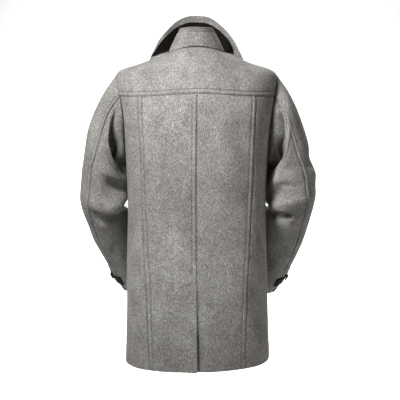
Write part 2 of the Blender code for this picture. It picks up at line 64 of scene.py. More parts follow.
# Armhole and seam places on the body
ARMPIT_LEVEL = 0.580
SHOULDER_LEVEL = 0.800
ARMHOLE_MIDDLE = (ARMPIT_LEVEL + SHOULDER_LEVEL) / 2
ARMHOLE_HALF = (SHOULDER_LEVEL - ARMPIT_LEVEL) / 2
ARMHOLE_BACK_ANGLE = 15.5
ARMHOLE_FRONT_ANGLE = 19.0
ARMHOLE_FULLNESS = 0.60
ARMHOLE_ROWS = 10
YOKE_ROW = 7
YOKE_LEVEL = ARMHOLE_MIDDLE - ARMHOLE_HALF * math.cos(math.pi * YOKE_ROW / ARMHOLE_ROWS)
SIDE_SEAM_ANGLE = 90.0
SHOULDER_SEAM_ANGLE = 93.0
FRONT_ANGLE = 180.0
NECK_BLEND = 0.033

# Body rings from the hem to the neck seam, as in the solids
Ring = namedtuple("Ring", "level half_width back front z_back z_side z_front power seam lean tilt")
BODY_RINGS = table(
    Ring,
    (0.000, 0.2040, 0.150, 0.152, -0.886, -0.881, -0.884, 2.60, 0.132, 0.003, 0.004),
    (0.220, 0.1985, 0.148, 0.152, -0.664, -0.665, -0.664, 2.60, 0.138, 0.001, 0.001),
    (0.430, 0.1930, 0.138, 0.140, -0.455, -0.455, -0.455, 2.60, 0.148, 0.001, 0.000),
    (0.580, 0.1970, 0.146, 0.148, -0.306, -0.306, -0.306, 2.60, 0.153, 0.001, 0.000),
    (0.690, 0.2075, 0.149, 0.136, -0.190, -0.193, -0.196, 2.55, 0.157, 0.002, 0.000),
    (YOKE_LEVEL, 0.2150, 0.140, 0.118, -0.122, -0.137, -0.130, 2.30, 0.158, 0.002, 0.000),
    (0.800, 0.2185, 0.126, 0.104, -0.082, -0.0760, -0.104, 1.80, 0.140, 0.000, 0.000),
    (0.850, 0.1500, 0.102, 0.094, -0.040, -0.0495, -0.086, 1.90, 0.100, 0.000, 0.000),
    (0.900, 0.0775, 0.072, 0.085, 0.000, -0.0185, -0.075, 2.00, 0.052, 0.000, 0.000),
)
HEM_LEVEL = BODY_RINGS[0].level
NECK_LEVEL = BODY_RINGS[-1].level

# Sleeve rings, as in the solids, and large folds: those at the elbow lie higher and deeper than theirs
SleeveRing = namedtuple("SleeveRing", "run outer_x outer_z inner_x inner_z mid_y half_depth pitch")
LEFT_SLEEVE = table(
    SleeveRing,
    (0.06, 0.2585, -0.136, 0.2000, -0.330, -0.002, 0.071, 0.0),
    (0.15, 0.2975, -0.222, 0.1978, -0.352, -0.004, 0.070, 0.0),
    (0.26, 0.3200, -0.335, 0.1964, -0.385, -0.010, 0.064, 0.0),
    (0.31, 0.3235, -0.385, 0.1960, -0.420, -0.009, 0.062, 5.0),
    (0.36, 0.3240, -0.432, 0.2055, -0.452, -0.002, 0.060, 14.0),
    (0.45, 0.3045, -0.516, 0.1925, -0.500, 0.046, 0.056, 28.0),
    (0.53, 0.2770, -0.583, 0.1820, -0.566, 0.090, 0.051, 36.0),
    (0.61, 0.2505, -0.651, 0.1640, -0.634, 0.135, 0.047, 37.0),
    (0.68, 0.2230, -0.708, 0.1480, -0.694, 0.174, 0.044, 37.0),
)
RIGHT_SLEEVE = table(
    SleeveRing,
    (0.06, 0.2605, -0.138, 0.2015, -0.330, -0.002, 0.071, 0.0),
    (0.15, 0.2980, -0.230, 0.1995, -0.352, -0.006, 0.070, 0.0),
    (0.26, 0.3270, -0.336, 0.1985, -0.385, -0.012, 0.066, 0.0),
    (0.31, 0.3315, -0.380, 0.1980, -0.420, -0.010, 0.064, 4.0),
    (0.36, 0.3330, -0.420, 0.2020, -0.452, -0.004, 0.062, 12.0),
    (0.45, 0.3150, -0.512, 0.1935, -0.500, 0.042, 0.057, 26.0),
    (0.53, 0.2915, -0.585, 0.1880, -0.568, 0.084, 0.052, 35.0),
    (0.61, 0.2645, -0.655, 0.1740, -0.636, 0.127, 0.048, 36.0),
    (0.68, 0.2390, -0.709, 0.1580, -0.692, 0.162, 0.045, 36.0),
)
SLEEVE_LENGTH = LEFT_SLEEVE[-1].run
FRONT_SEAM_ANGLE = -126.0
SeamPlace = namedtuple("SeamPlace", "run angle")
ELBOW_SEAM = table(
    SeamPlace,
    (0.00, 54.0),
    (0.08, 66.0),
    (0.16, 68.0),
    (0.26, 60.0),
    (0.38, 56.0),
    (0.68, 54.0),
)
Fold = namedtuple("Fold", "run angle run_reach angle_reach depth")
LEFT_FOLDS = table(
    Fold,
    (0.080, 122.0, 0.050, 24.0, -0.0150),
    (0.140, 146.0, 0.045, 22.0, -0.0190),
    (0.130, 94.0, 0.070, 20.0, 0.0050),
    (0.232, 104.0, 0.020, 40.0, 0.0040),
    (0.276, 134.0, 0.028, 44.0, -0.0240),
    (0.340, 118.0, 0.022, 44.0, 0.0120),
    (0.384, 124.0, 0.014, 46.0, -0.0190),
)
RIGHT_FOLDS = table(
    Fold,
    (0.095, 124.0, 0.045, 24.0, -0.0150),
    (0.145, 146.0, 0.042, 22.0, -0.0190),
    (0.130, 92.0, 0.060, 20.0, 0.0050),
    (0.228, 5.0, 0.022, 45.0, -0.0060),
    (0.285, 5.0, 0.022, 45.0, 0.0025),
    (0.245, 100.0, 0.030, 36.0, 0.0040),
    (0.292, 136.0, 0.026, 28.0, -0.0180),
    (0.334, 104.0, 0.022, 40.0, 0.0110),
    (0.378, 132.0, 0.014, 42.0, -0.0190),
)

# Collar, as in the solids, but for the first place of its edge, which lies lower
STAND_HALF_WIDTH = 0.047
STAND_BACK = 0.068
STAND_TOP_BACK = 0.052
STAND_TOP_SIDE = 0.046
CollarEdge = namedtuple("CollarEdge", "angle x y z")
COLLAR_EDGE = table(
    CollarEdge,
    (93.0, 0.1290, 0.016, -0.0422),
    (112.0, 0.1220, 0.034, -0.0230),
    (134.0, 0.1000, 0.067, 0.0190),
    (152.0, 0.0620, 0.099, 0.0580),
    (166.0, 0.0300, 0.114, 0.0755),
    (180.0, 0.0000, 0.119, 0.0785),
)
COLLAR_BOW = 0.008
LINING_FOOT = 0.10
# Where the lining stops short of the collar's edge, as a share of the rise at an angle round the neck; the
# left half reaches further than the right, as painted shade inside the collar
LiningTop = namedtuple("LiningTop", "angle left right")
PAINTED_SHADE_LINING_TOPS = table(
    LiningTop,
    (98.0, 0.90, 0.42),
    (112.0, 0.90, 0.54),
    (125.0, 0.89, 0.74),
    (136.0, 0.88, 0.83),
    (152.0, 0.88, 0.87),
    (180.0, 0.88, 0.88),
)

# Seams as they look: a groove at the join, a raised welt and a sunk line of stitches beside it
GROOVE_DEPTH = 0.0016
GROOVE_REACH = 0.0022
# Painted shade: the wool's colour is multiplied down to this share at the bottom of seams and stitch lines,
# through the attribute of this name
PAINTED_SHADE_NAME = "groove"
GROOVE_PAINTED_SHADE = 0.70
STITCH_LINE = 0.0120
STITCH_SINK = 0.0016
STITCH_SINK_REACH = 0.0018
STITCH_PITCH = 0.0046
STITCH_LENGTH = 0.0034
STITCH_RADIUS = 0.00042
WELT_HEIGHT = 0.0010
WELT_RISE = 0.004
WELT_END = STITCH_LINE + 0.001
WELT_FALL = 0.003
EDGE_ROUND = 0.0022
# Shares of a wall: how far a free edge rolls in, and the deepest that relief may sink
EDGE_ROLL = 0.45
DEEPEST_RELIEF = 0.8


def smooth_step(value):
    held = np.clip(value, 0.0, 1.0)
    return held * held * (3.0 - 2.0 * held)


def fade_out(value):
    return 1.0 - smooth_step(value)


def half_turn(angles):
    """Angles brought to between -180 and 180 degrees."""
    return (angles + 180.0) % 360.0 - 180.0


def unit(vectors):
    return vectors / np.linalg.norm(vectors, axis=-1, keepdims=True)


def smooth_table(places, values, at):
    """Cubic curves through the rows of values at places, read at many places at once."""
    places = np.asarray(places, float)
    values = np.asarray(values, float)
    at = np.asarray(at, float)
    last = len(places) - 1
    low = np.maximum(np.arange(last + 1) - 1, 0)
    high = np.minimum(np.arange(last + 1) + 1, last)
    shape = (-1,) + (1,) * (values.ndim - 1)
    slopes = (values[high] - values[low]) / (places[high] - places[low]).reshape(shape)
    spot = np.clip(np.searchsorted(places, at, side="right") - 1, 0, last - 1)
    span = (places[spot + 1] - places[spot]).reshape(shape)
    part = (at - places[spot]).reshape(shape) / span
    square = part * part
    cube = square * part
    return ((2 * cube - 3 * square + 1) * values[spot] + (cube - 2 * square + part) * slopes[spot] * span
            + (3 * square - 2 * cube) * values[spot + 1] + (cube - square) * slopes[spot + 1] * span)


RING_LEVELS = [ring.level for ring in BODY_RINGS]


def rings_at(levels):
    """The body rings at an array of levels, each column as an array."""
    columns = smooth_table(RING_LEVELS, BODY_RINGS, levels)
    return Ring(*columns.T)


def body_surface(angles, levels):
    """Outer points of the body for a grid of angles, one level to each row."""
    ring = Ring(*(column[:, None] for column in rings_at(levels)))
    sine = np.sin(np.radians(angles))
    cosine = np.cos(np.radians(angles))
    depth = np.where(cosine > 0, ring.back, ring.front)
    z_end = np.where(cosine > 0, ring.z_back, ring.z_front)
    reach = np.abs(sine / ring.half_width) ** ring.power + np.abs(cosine / depth) ** ring.power
    reach = reach ** (-1.0 / ring.power)
    side = reach * sine
    height = ring.z_side + (z_end - ring.z_side) * cosine ** 2 + ring.tilt * side / ring.half_width
    return np.stack((side + ring.lean, -reach * cosine, height), axis=-1)


def grid_normals(points):
    """Unit normals of a grid of points, rows going up and columns to the right."""
    normals = np.cross(np.gradient(points, axis=1), np.gradient(points, axis=0))
    return normals / np.maximum(np.linalg.norm(normals, axis=-1, keepdims=True), 1e-12)


def armhole_span(levels):
    """Angles of the back and front armhole edges at an array of levels."""
    place = np.clip((levels - ARMHOLE_MIDDLE) / ARMHOLE_HALF, -1.0, 1.0)
    centre = SIDE_SEAM_ANGLE + (SHOULDER_SEAM_ANGLE - SIDE_SEAM_ANGLE) * (place + 1) / 2
    width = (1.0 - place * place) ** ARMHOLE_FULLNESS
    return centre - ARMHOLE_BACK_ANGLE * width, centre + ARMHOLE_FRONT_ANGLE * width


def seam_angle(levels):
    ring = rings_at(levels)
    depth = ring.back * (1.0 - (ring.seam / ring.half_width) ** ring.power) ** (1.0 / ring.power)
    return np.degrees(np.arctan2(ring.seam, depth))


def overlap_angle(levels, width):
    return np.degrees(np.arctan2(width, rings_at(levels).front))


def armhole_level(rows):
    return ARMHOLE_MIDDLE - ARMHOLE_HALF * np.cos(np.pi * np.asarray(rows) / ARMHOLE_ROWS)


def eased(count, ease):
    """Fractions from 0 to 1, closer together at both ends."""
    even = np.linspace(0.0, 1.0, count)
    return even - ease * np.sin(2 * np.pi * even) / (2 * np.pi)


def across(start, end, fractions):
    """Angles for each row between its start and its end."""
    return start[:, None] + (end - start)[:, None] * fractions[None, :]


# Creases on the body, each a soft trough or ridge between two places of turn (degrees) and level
Crease = namedtuple("Crease", "angle_0 level_0 angle_1 level_1 reach depth")
BODY_CREASES = table(
    Crease,
    (-24, 0.705, -31, 0.560, 0.020, -0.0022),
    (-38, 0.690, -46, 0.505, 0.024, 0.0026),
    (-52, 0.640, -60, 0.470, 0.018, -0.0030),
    (-16, 0.500, -20, 0.270, 0.026, 0.0018),
    (-36, 0.420, -41, 0.150, 0.028, -0.0024),
    (-54, 0.330, -58, 0.040, 0.030, 0.0030),
    (-70, 0.560, -76, 0.330, 0.020, -0.0036),
    (-76, 0.300, -84, 0.060, 0.026, -0.0026),
    (-8, 0.240, -10, 0.020, 0.030, -0.0016),
    (22, 0.690, 29, 0.530, 0.022, 0.0020),
    (40, 0.700, 47, 0.560, 0.018, -0.0026),
    (53, 0.610, 62, 0.430, 0.022, 0.0030),
    (18, 0.450, 24, 0.180, 0.028, -0.0018),
    (43, 0.390, 48, 0.110, 0.026, 0.0026),
    (69, 0.545, 77, 0.350, 0.018, -0.0036),
    (66, 0.270, 71, 0.030, 0.028, -0.0028),
    (12, 0.170, 15, 0.010, 0.024, 0.0016),
    (-20, 0.790, -42, 0.770, 0.014, -0.0014),
    (26, 0.800, 50, 0.775, 0.016, -0.0014),
    (-100, 0.500, -104, 0.210, 0.026, 0.0032),
    (-118, 0.600, -138, 0.440, 0.022, -0.0034),
    (-128, 0.380, -132, 0.090, 0.030, 0.0028),
    (-146, 0.330, -150, 0.060, 0.026, -0.0024),
    (-132, 0.730, -150, 0.610, 0.020, -0.0026),
    (101, 0.480, 106, 0.190, 0.028, 0.0030),
    (116, 0.610, 134, 0.470, 0.020, -0.0036),
    (126, 0.400, 131, 0.120, 0.028, -0.0026),
    (143, 0.300, 147, 0.030, 0.028, 0.0026),
    (130, 0.740, 147, 0.640, 0.018, 0.0022),
)

# Creases on the sleeves, between two places of run (metres) and turn (degrees)
SleeveCrease = namedtuple("SleeveCrease", "run_0 angle_0 run_1 angle_1 reach depth")
LEFT_CREASES = table(
    SleeveCrease,
    (0.045, 52, 0.160, 40, 0.016, 0.0026),
    (0.205, 64, 0.262, 96, 0.011, -0.0030),
    (0.250, 60, 0.300, 92, 0.010, 0.0030),
    (0.302, 70, 0.322, 128, 0.008, -0.0034),
    (0.346, 78, 0.360, 140, 0.008, 0.0040),
    (0.364, 66, 0.378, 150, 0.006, -0.0110),
    (0.408, 76, 0.436, 132, 0.010, 0.0030),
    (0.440, 118, 0.520, 84, 0.014, -0.0030),
    (0.520, 92, 0.620, 104, 0.015, 0.0024),
    (0.300, -30, 0.345, -96, 0.012, -0.0050),
    (0.340, -150, 0.372, -84, 0.011, -0.0070),
    (0.395, -160, 0.420, -92, 0.012, 0.0050),
    (0.440, -110, 0.560, -84, 0.015, -0.0028),
    (0.130, -60, 0.260, -82, 0.018, 0.0030),
    (0.190, 12, 0.300, -6, 0.020, -0.0024),
    (0.470, 20, 0.590, 6, 0.018, 0.0020),
    (0.060, -140, 0.200, -126, 0.014, -0.0060),
)
RIGHT_CREASES = table(
    SleeveCrease,
    (0.050, 46, 0.180, 52, 0.017, 0.0024),
    (0.196, 98, 0.236, 66, 0.010, -0.0032),
    (0.236, 40, 0.262, 4, 0.010, -0.0050),
    (0.268, 122, 0.292, 78, 0.010, -0.0030),
    (0.312, 96, 0.326, 60, 0.010, -0.0026),
    (0.338, 146, 0.362, 96, 0.008, 0.0040),
    (0.356, 152, 0.384, 92, 0.006, -0.0120),
    (0.404, 140, 0.428, 78, 0.010, 0.0030),
    (0.440, 112, 0.520, 82, 0.015, -0.0028),
    (0.540, 96, 0.630, 106, 0.015, 0.0024),
    (0.290, -24, 0.330, -88, 0.012, -0.0048),
    (0.335, -152, 0.366, -86, 0.011, -0.0068),
    (0.388, -158, 0.415, -96, 0.012, 0.0048),
    (0.450, -104, 0.570, -82, 0.015, -0.0026),
    (0.120, -64, 0.250, -80, 0.018, 0.0028),
    (0.480, 24, 0.600, 8, 0.018, 0.0018),
    (0.060, -142, 0.190, -128, 0.014, -0.0060),
)

# Recess at the back of each armhole: the turn of its sharp ridge at a run down the sleeve
RidgePlace = namedtuple("RidgePlace", "run angle")
LEFT_RIDGE = table(
    RidgePlace, (0.020, 62), (0.060, 78), (0.100, 90), (0.140, 112), (0.155, 132), (0.190, 168))
RIGHT_RIDGE = table(
    RidgePlace, (0.030, 56), (0.060, 62), (0.085, 68), (0.140, 99), (0.170, 143), (0.190, 170))
RECESS_DEPTH = 0.032
RECESS_SLOPE = 0.016
RECESS_START = 0.015
RECESS_FADE_IN = 0.050
RECESS_END = 0.165
RECESS_FADE_OUT = 0.040
RECESS_LIP = 0.0026
RECESS_LIP_REACH = 0.007
RECESS_INNER_ANGLE = 170.0
RECESS_INNER_FADE = 26.0

# Where a sleeve swells to touch the side of the body, and the height below which it is kept off it
CONTACT_ANGLE = 194.0
CONTACT_REACH = 22.0
CONTACT_SWELL = 0.010
CONTACT_GAP = 0.0010
CONTACT_TOP = -0.275
CONTACT_RINGS = BODY_RINGS[:5]
ContactPlace = namedtuple("ContactPlace", "run share")
LEFT_CONTACT = table(
    ContactPlace, (0.000, 0), (0.025, 1), (0.315, 1), (0.345, 0),
    (0.375, 0), (0.402, 1), (0.470, 1), (0.540, 0))
RIGHT_CONTACT = table(
    ContactPlace, (0.000, 0), (0.025, 1), (0.330, 1), (0.352, 0),
    (0.368, 0), (0.390, 1), (0.470, 1), (0.540, 0))

# The two sleeves; side is -1 on the wearer's left
Sleeve = namedtuple("Sleeve", "name side rings folds creases ridge contact")
SLEEVES = (
    Sleeve("left", -1, LEFT_SLEEVE, LEFT_FOLDS, LEFT_CREASES, LEFT_RIDGE, LEFT_CONTACT),
    Sleeve("right", 1, RIGHT_SLEEVE, RIGHT_FOLDS, RIGHT_CREASES, RIGHT_RIDGE, RIGHT_CONTACT),
)

# Slow uneven waves of the whole cloth
WAVE_COUNT = 9
WAVE_HEIGHT = 0.00021
WAVE_LENGTHS = (0.045, 0.120)
WAVE_WAYS = (1.0, 1.0, 0.6)
WAVE_SEED = 41

# Girths that turn a crease's degrees into metres, and how fast a crease fades at its ends
BODY_GIRTH = 1.04
SLEEVE_GIRTH = 0.40
SEGMENT_FADE = 2.2


def segment_share(first, second, start, end, reach):
    """How near each place lies to a segment, 1 on it and fading to 0 over the reach and at its ends."""
    run = (end[0] - start[0], end[1] - start[1])
    length = math.hypot(*run)
    along = ((first - start[0]) * run[0] + (second - start[1]) * run[1]) / length ** 2
    away = ((first - start[0]) * run[1] - (second - start[1]) * run[0]) / length
    ends = smooth_step(0.5 + along * SEGMENT_FADE) * smooth_step(0.5 + (1.0 - along) * SEGMENT_FADE)
    return np.exp(-(away / reach) ** 2) * ends


def waves(points):
    """Slow uneven swell of the cloth, the same for every piece that meets at a seam."""
    random = np.random.default_rng(WAVE_SEED)
    height = np.zeros(points.shape[:-1])
    for _ in range(WAVE_COUNT):
        direction = unit(random.normal(size=3) * WAVE_WAYS)
        wavelength = random.uniform(*WAVE_LENGTHS)
        phase = random.uniform(0.0, 2 * np.pi)
        height += np.sin(points @ direction * 2 * np.pi / wavelength + phase)
    return WAVE_HEIGHT * height


def body_creases(angles, levels):
    height = np.zeros(angles.shape)
    to_metres = BODY_GIRTH / 360.0
    around = half_turn(angles) * to_metres
    for crease in BODY_CREASES:
        height += crease.depth * segment_share(
            around, levels[:, None], (crease.angle_0 * to_metres, crease.level_0),
            (crease.angle_1 * to_metres, crease.level_1), crease.reach)
    return height


def sleeve_creases(creases, turns, runs):
    height = np.zeros(turns.shape)
    to_metres = SLEEVE_GIRTH / 360.0
    for crease in creases:
        middle = (crease.angle_0 + crease.angle_1) / 2
        around = (middle + half_turn(turns - middle)) * to_metres
        height += crease.depth * segment_share(
            runs[:, None], around, (crease.run_0, crease.angle_0 * to_metres),
            (crease.run_1, crease.angle_1 * to_metres), crease.reach)
    return height


def sleeve_recess(ridge, turns, runs):
    """Hollow between a sleeve's ridge and its armhole, and the lip along the ridge."""
    edge = np.interp(runs, *np.transpose(ridge))
    inside = (turns - edge[:, None]) * SLEEVE_GIRTH / 360.0
    window = smooth_step((runs - RECESS_START) / RECESS_FADE_IN)
    window = window * fade_out((runs - RECESS_END) / RECESS_FADE_OUT)
    inner = fade_out((turns - RECESS_INNER_ANGLE) / RECESS_INNER_FADE)
    height = -RECESS_DEPTH * smooth_step(inside / RECESS_SLOPE) * inner
    height = height + RECESS_LIP * np.exp(-((inside + RECESS_LIP_REACH / 2) / RECESS_LIP_REACH) ** 2)
    return height * window[:, None]


def contact_swell(contact, turns, runs):
    """Swell of the sleeve's inner side towards the body."""
    around = half_turn(turns - CONTACT_ANGLE)
    share = np.interp(runs, *np.transpose(contact))
    return CONTACT_SWELL * np.exp(-(around / CONTACT_REACH) ** 2) * smooth_step(share)[:, None]


def kept_off_body(points, side):
    """Sleeve points moved sideways where they would lie in the body."""
    x, y, z = np.moveaxis(points, -1, 0)
    level = np.interp(z, [ring.z_side for ring in CONTACT_RINGS], [ring.level for ring in CONTACT_RINGS])
    ring = Ring(*(column.reshape(level.shape) for column in rings_at(level.reshape(-1))))
    depth = np.where(y < 0, ring.back, ring.front)
    share = np.clip(1.0 - np.abs(y / depth) ** ring.power, 0.0, 1.0)
    wall = ring.half_width * share ** (1.0 / ring.power) + side * ring.lean + CONTACT_GAP
    made = points.copy()
    made[..., 0] = np.where(z < CONTACT_TOP, side * np.maximum(side * x, wall), x)
    return made


def sunk_line(distance, line, depth=STITCH_SINK, reach=STITCH_SINK_REACH):
    """Depth of the hollow that a line of stitches pulls into the cloth."""
    return depth * np.exp(-((distance - line) / reach) ** 2)


def seam_height(distance, stitched=False):
    """Height beside a seam: the groove at the join, and the welt and sunk stitches where it is stitched."""
    height = -GROOVE_DEPTH * np.exp(-(distance / GROOVE_REACH) ** 2)
    if stitched:
        rise = smooth_step(distance / WELT_RISE) * smooth_step((WELT_END - distance) / WELT_FALL)
        height = height + WELT_HEIGHT * rise - sunk_line(distance, STITCH_LINE)
    return height


def edge_height(distance, depth=EDGE_ROLL * WALL, reach=EDGE_ROUND):
    """Roll of a free edge towards its inner face."""
    return -depth * fade_out(distance / reach)


def column_distance(points, last=False):
    """Length along each row from its first column, or from its last."""
    if last:
        return column_distance(points[:, ::-1])[:, ::-1]
    steps = np.linalg.norm(np.diff(points, axis=1), axis=-1)
    return np.concatenate((np.zeros((len(points), 1)), np.cumsum(steps, axis=1)), axis=1)


def row_distance(points, last=False):
    """Length along each column from its first row, or from its last."""
    return column_distance(points.swapaxes(0, 1), last).swapaxes(0, 1)


# Cloth shells from grids of points
Stuff = namedtuple("Stuff", "material slot wall")


def mesh_object(name, vertices, faces, material):
    mesh = bpy.data.meshes.new(name)
    mesh.from_pydata(vertices.tolist(), [], faces)
    mesh.shade_smooth()
    mesh.materials.append(material)
    made = bpy.data.objects.new(name, mesh)
    bpy.context.scene.collection.objects.link(made)
    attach(made, "root")
    return made


def shell_faces(rows, columns):
    """Faces of a closed shell: the outer grid, the inner grid turned over, and the rim between them."""
    index = np.arange(rows * columns).reshape(rows, columns)
    corners = (index[:-1, :-1], index[:-1, 1:], index[1:, 1:], index[1:, :-1])
    quads = np.stack(corners, axis=-1).reshape(-1, 4)
    rim = np.concatenate((index[0, :-1], index[:-1, -1], index[-1, :0:-1], index[:0:-1, 0]))
    after = np.roll(rim, -1)
    inside = rows * columns
    sides = np.stack((rim, rim + inside, after + inside, after), axis=-1)
    return np.concatenate((quads, quads[:, ::-1] + inside, sides)).tolist()


def flat_size(points):
    """Width, length and area of the cut that a grid of points was made from."""
    width = column_distance(points)[:, -1].max()
    length = row_distance(points)[-1].max()
    first = points[1:, 1:] - points[:-1, :-1]
    second = points[1:, :-1] - points[:-1, 1:]
    area = np.linalg.norm(np.cross(first, second), axis=-1).sum() / 2
    return width, length, area


def cloth(node, points, swell, relief, stuff):
    """The shell of one cut piece, in its solid's place: swell moves both faces, relief the outer one."""
    material, slot, wall = stuff
    middle = points + grid_normals(points) * swell[..., None]
    normals = grid_normals(middle)
    relief = np.maximum(relief, -DEEPEST_RELIEF * wall)
    outer = middle + normals * relief[..., None]
    inner = middle - normals * wall
    vertices = np.concatenate((outer.reshape(-1, 3), inner.reshape(-1, 3)))
    made = mesh_object(f"{node}_cloth", vertices, shell_faces(*relief.shape), material)
    # Painted shade: how deep the outer face sinks, stored so that the wool darkens its colour there
    sunk = np.clip(-relief / GROOVE_DEPTH, 0.0, 1.0).reshape(-1)
    groove = made.data.attributes.new(PAINTED_SHADE_NAME, "FLOAT", "POINT")
    groove.data.foreach_set("value", np.concatenate((sunk, np.zeros_like(sunk))).astype(np.float32))
    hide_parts(node)
    flat_size(middle)
    return outer, normals


def trimmed(points, gap=SEAM_GAP / 2):
    """Draw the four edges of a grid in by half the seam gap, unless another gap is given."""
    made = points.copy()
    for edge, inner in ((0, 1), (-1, -2)):
        made[edge] += unit(points[inner] - points[edge]) * gap
    drawn = made.copy()
    for edge, inner in ((0, 1), (-1, -2)):
        drawn[:, edge] += unit(made[:, inner] - made[:, edge]) * gap
    return drawn


# Stitches: rings by their place along a stitch and their share of its radius
STITCH_RINGS = ((-0.50, 0.30), (-0.34, 0.85), (0.0, 1.0), (0.34, 0.85), (0.50, 0.30))
STITCH_SIDES = 6
STITCH_ARCH = 0.00022
STITCHES = {}


def read_along(at, places, values):
    """Rows of values that stand at places, read between them."""
    return np.stack([np.interp(at, places, column) for column in values.T], axis=-1)


def line_at(points, normals, distance, targets):
    """Places and normals where the distance from an edge is the target, one for all rows or for each."""
    places = []
    ways = []
    targets = np.broadcast_to(targets, len(points))
    for row_points, row_normals, reach, target in zip(points, normals, distance, targets):
        order = np.argsort(reach)
        places.append(read_along(target, reach[order], row_points[order]))
        ways.append(read_along(target, reach[order], row_normals[order]))
    return np.array(places), np.array(ways)


def line_across(points, normals, distance, target):
    """The same, column by column."""
    return line_at(points.swapaxes(0, 1), normals.swapaxes(0, 1), distance.T, target)


def sew(group, places, ways):
    """Add a line of stitches to a group, evenly spaced along the places."""
    along = np.concatenate(([0.0], np.cumsum(np.linalg.norm(np.diff(places, axis=0), axis=1))))
    spots = np.arange(STITCH_PITCH, along[-1] - STITCH_PITCH / 2, STITCH_PITCH)
    middle = read_along(spots, along, places)
    normal = unit(read_along(spots, along, ways))
    tangent = unit(read_along(spots + STITCH_LENGTH / 2, along, places) - middle)
    turns = (2 * np.pi * np.arange(STITCH_SIDES) / STITCH_SIDES)[:, None]
    outward = np.cross(tangent, normal)[:, None] * np.cos(turns) + normal[:, None] * np.sin(turns)
    rings = []
    for place, share in STITCH_RINGS:
        centre = middle + tangent * place * STITCH_LENGTH + normal * STITCH_ARCH * (1.0 - 4.0 * place ** 2)
        rings.append(centre[:, None] + STITCH_RADIUS * share * outward)
    STITCHES.setdefault(group, []).append(np.stack(rings, axis=1))


def make_stitches(material):
    """One joined mesh of stitches for each group."""
    each = len(STITCH_RINGS) * STITCH_SIDES
    pattern = []
    for low in range(0, each - STITCH_SIDES, STITCH_SIDES):
        high = low + STITCH_SIDES
        for side in range(STITCH_SIDES):
            after = (side + 1) % STITCH_SIDES
            pattern.append((low + side, low + after, high + after, high + side))
    pattern.append(tuple(range(STITCH_SIDES - 1, -1, -1)))
    pattern.append(tuple(range(each - STITCH_SIDES, each)))
    for group, runs in STITCHES.items():
        stitches = np.concatenate(runs)
        faces = []
        for first in range(0, len(stitches) * each, each):
            faces += [tuple(first + corner for corner in face) for face in pattern]
        made = mesh_object(f"stitches_{group}", stitches.reshape(-1, 3), faces, material)


# Rows and columns of the body pieces, close together at seams and edges
NEAR_EDGE = np.array((0.0, 0.0006, 0.0014, 0.0024, 0.0038, 0.0060, 0.0085, 0.0102, 0.0112, 0.0120, 0.0128,
                      0.0138, 0.0155))
SKIRT_ROW_COUNT = 132
TACK_ROW_COUNT = 26
TACK_ROWS_LOW = VENT_HEIGHT - 0.040
TACK_ROWS_HIGH = VENT_HEIGHT - 0.014
ARMHOLE_ROW_COUNT = 53
NECK_ROW_COUNT = 25
BODY_ROWS = np.sort(np.concatenate((np.linspace(HEM_LEVEL, ARMPIT_LEVEL, SKIRT_ROW_COUNT),
                                    np.linspace(TACK_ROWS_LOW, TACK_ROWS_HIGH, TACK_ROW_COUNT),
                                    armhole_level(np.linspace(0.0, ARMHOLE_ROWS, ARMHOLE_ROW_COUNT))[1:],
                                    np.linspace(SHOULDER_LEVEL, NECK_LEVEL, NECK_ROW_COUNT)[1:])))
BACK_COLUMNS = 62
SIDE_COLUMNS = 46
FRONT_COLUMNS = 84
YOKE_COLUMNS = 130
UNDERLAP_COLUMNS = 14
SEAM_EASE = 0.80

# Hem, vent with its slanted tack of stitches, and pressed shoulder seam
HEM_FOLD = 0.038
HEM_FOLD_HEIGHT = 0.0005
HEM_FOLD_FADE = 0.006
VENT_MOUTH = VENT_HEIGHT - 0.016
VENT_MOUTH_FADE = 0.012
VENT_LEAST_GAPE = 0.4
VENT_LIFT = 0.0065
VENT_LIFT_REACH = 0.050
VENT_SINK = 0.0050
VENT_SINK_ANGLE = 10.0
VENT_TUCK_ANGLE = VENT_EDGE_ANGLE / 2
TACK_TOP = VENT_HEIGHT - 0.022
TACK_DROP = 0.011
TACK_REACH = 0.027
TACK_POINTS = 12
SHOULDER_PRESS = 0.020
LEFT_HEAD_PRESS = 0.25

# Where the cloth of the body lies still
CALM_ANGLES = (66.0, 138.0)
CALM_ANGLE_FADE = 12.0
CALM_HEIGHTS = (-0.63, -0.22)
CALM_HEIGHT_FADE = 0.03
CALM_NECK_ANGLE = 140.0
CALM_NECK_LEVEL = NECK_LEVEL - 0.05
CALM_NECK_FADE = 0.02


def rows_between(rows, low, high):
    """Rows from low to high, with close ones at both ends."""
    inner = rows[(rows > low + NEAR_EDGE[-1]) & (rows < high - NEAR_EDGE[-1])]
    return np.concatenate((low + NEAR_EDGE, inner, (high - NEAR_EDGE)[::-1]))


def edge_angles(levels):
    """Angles where the back pieces end and the front pieces begin, at each level."""
    low = levels <= ARMPIT_LEVEL
    high = levels >= SHOULDER_LEVEL
    return [np.where(low, SIDE_SEAM_ANGLE, np.where(high, SHOULDER_SEAM_ANGLE, edge))
            for edge in armhole_span(levels)]


def between(values, limits, fade):
    """1 between two limits, fading to 0 at each."""
    return smooth_step((values - limits[0]) / fade) * smooth_step((limits[1] - values) / fade)


def calm_share(points, angles, levels):
    """Where the cloth lies still: under the sleeves, and where the fronts lap at the neck."""
    away = np.abs(half_turn(angles))
    beside = between(away, CALM_ANGLES, CALM_ANGLE_FADE)
    beside = beside * between(points[..., 2], CALM_HEIGHTS, CALM_HEIGHT_FADE)
    at_neck = smooth_step((away - CALM_NECK_ANGLE) / CALM_ANGLE_FADE)
    at_neck = at_neck * smooth_step((levels - CALM_NECK_LEVEL) / CALM_NECK_FADE)[:, None]
    return np.maximum(beside, at_neck)


def body_swell(points, angles, levels):
    swell = body_creases(angles, levels) + waves(points)
    return swell * (1.0 - calm_share(points, angles, levels))


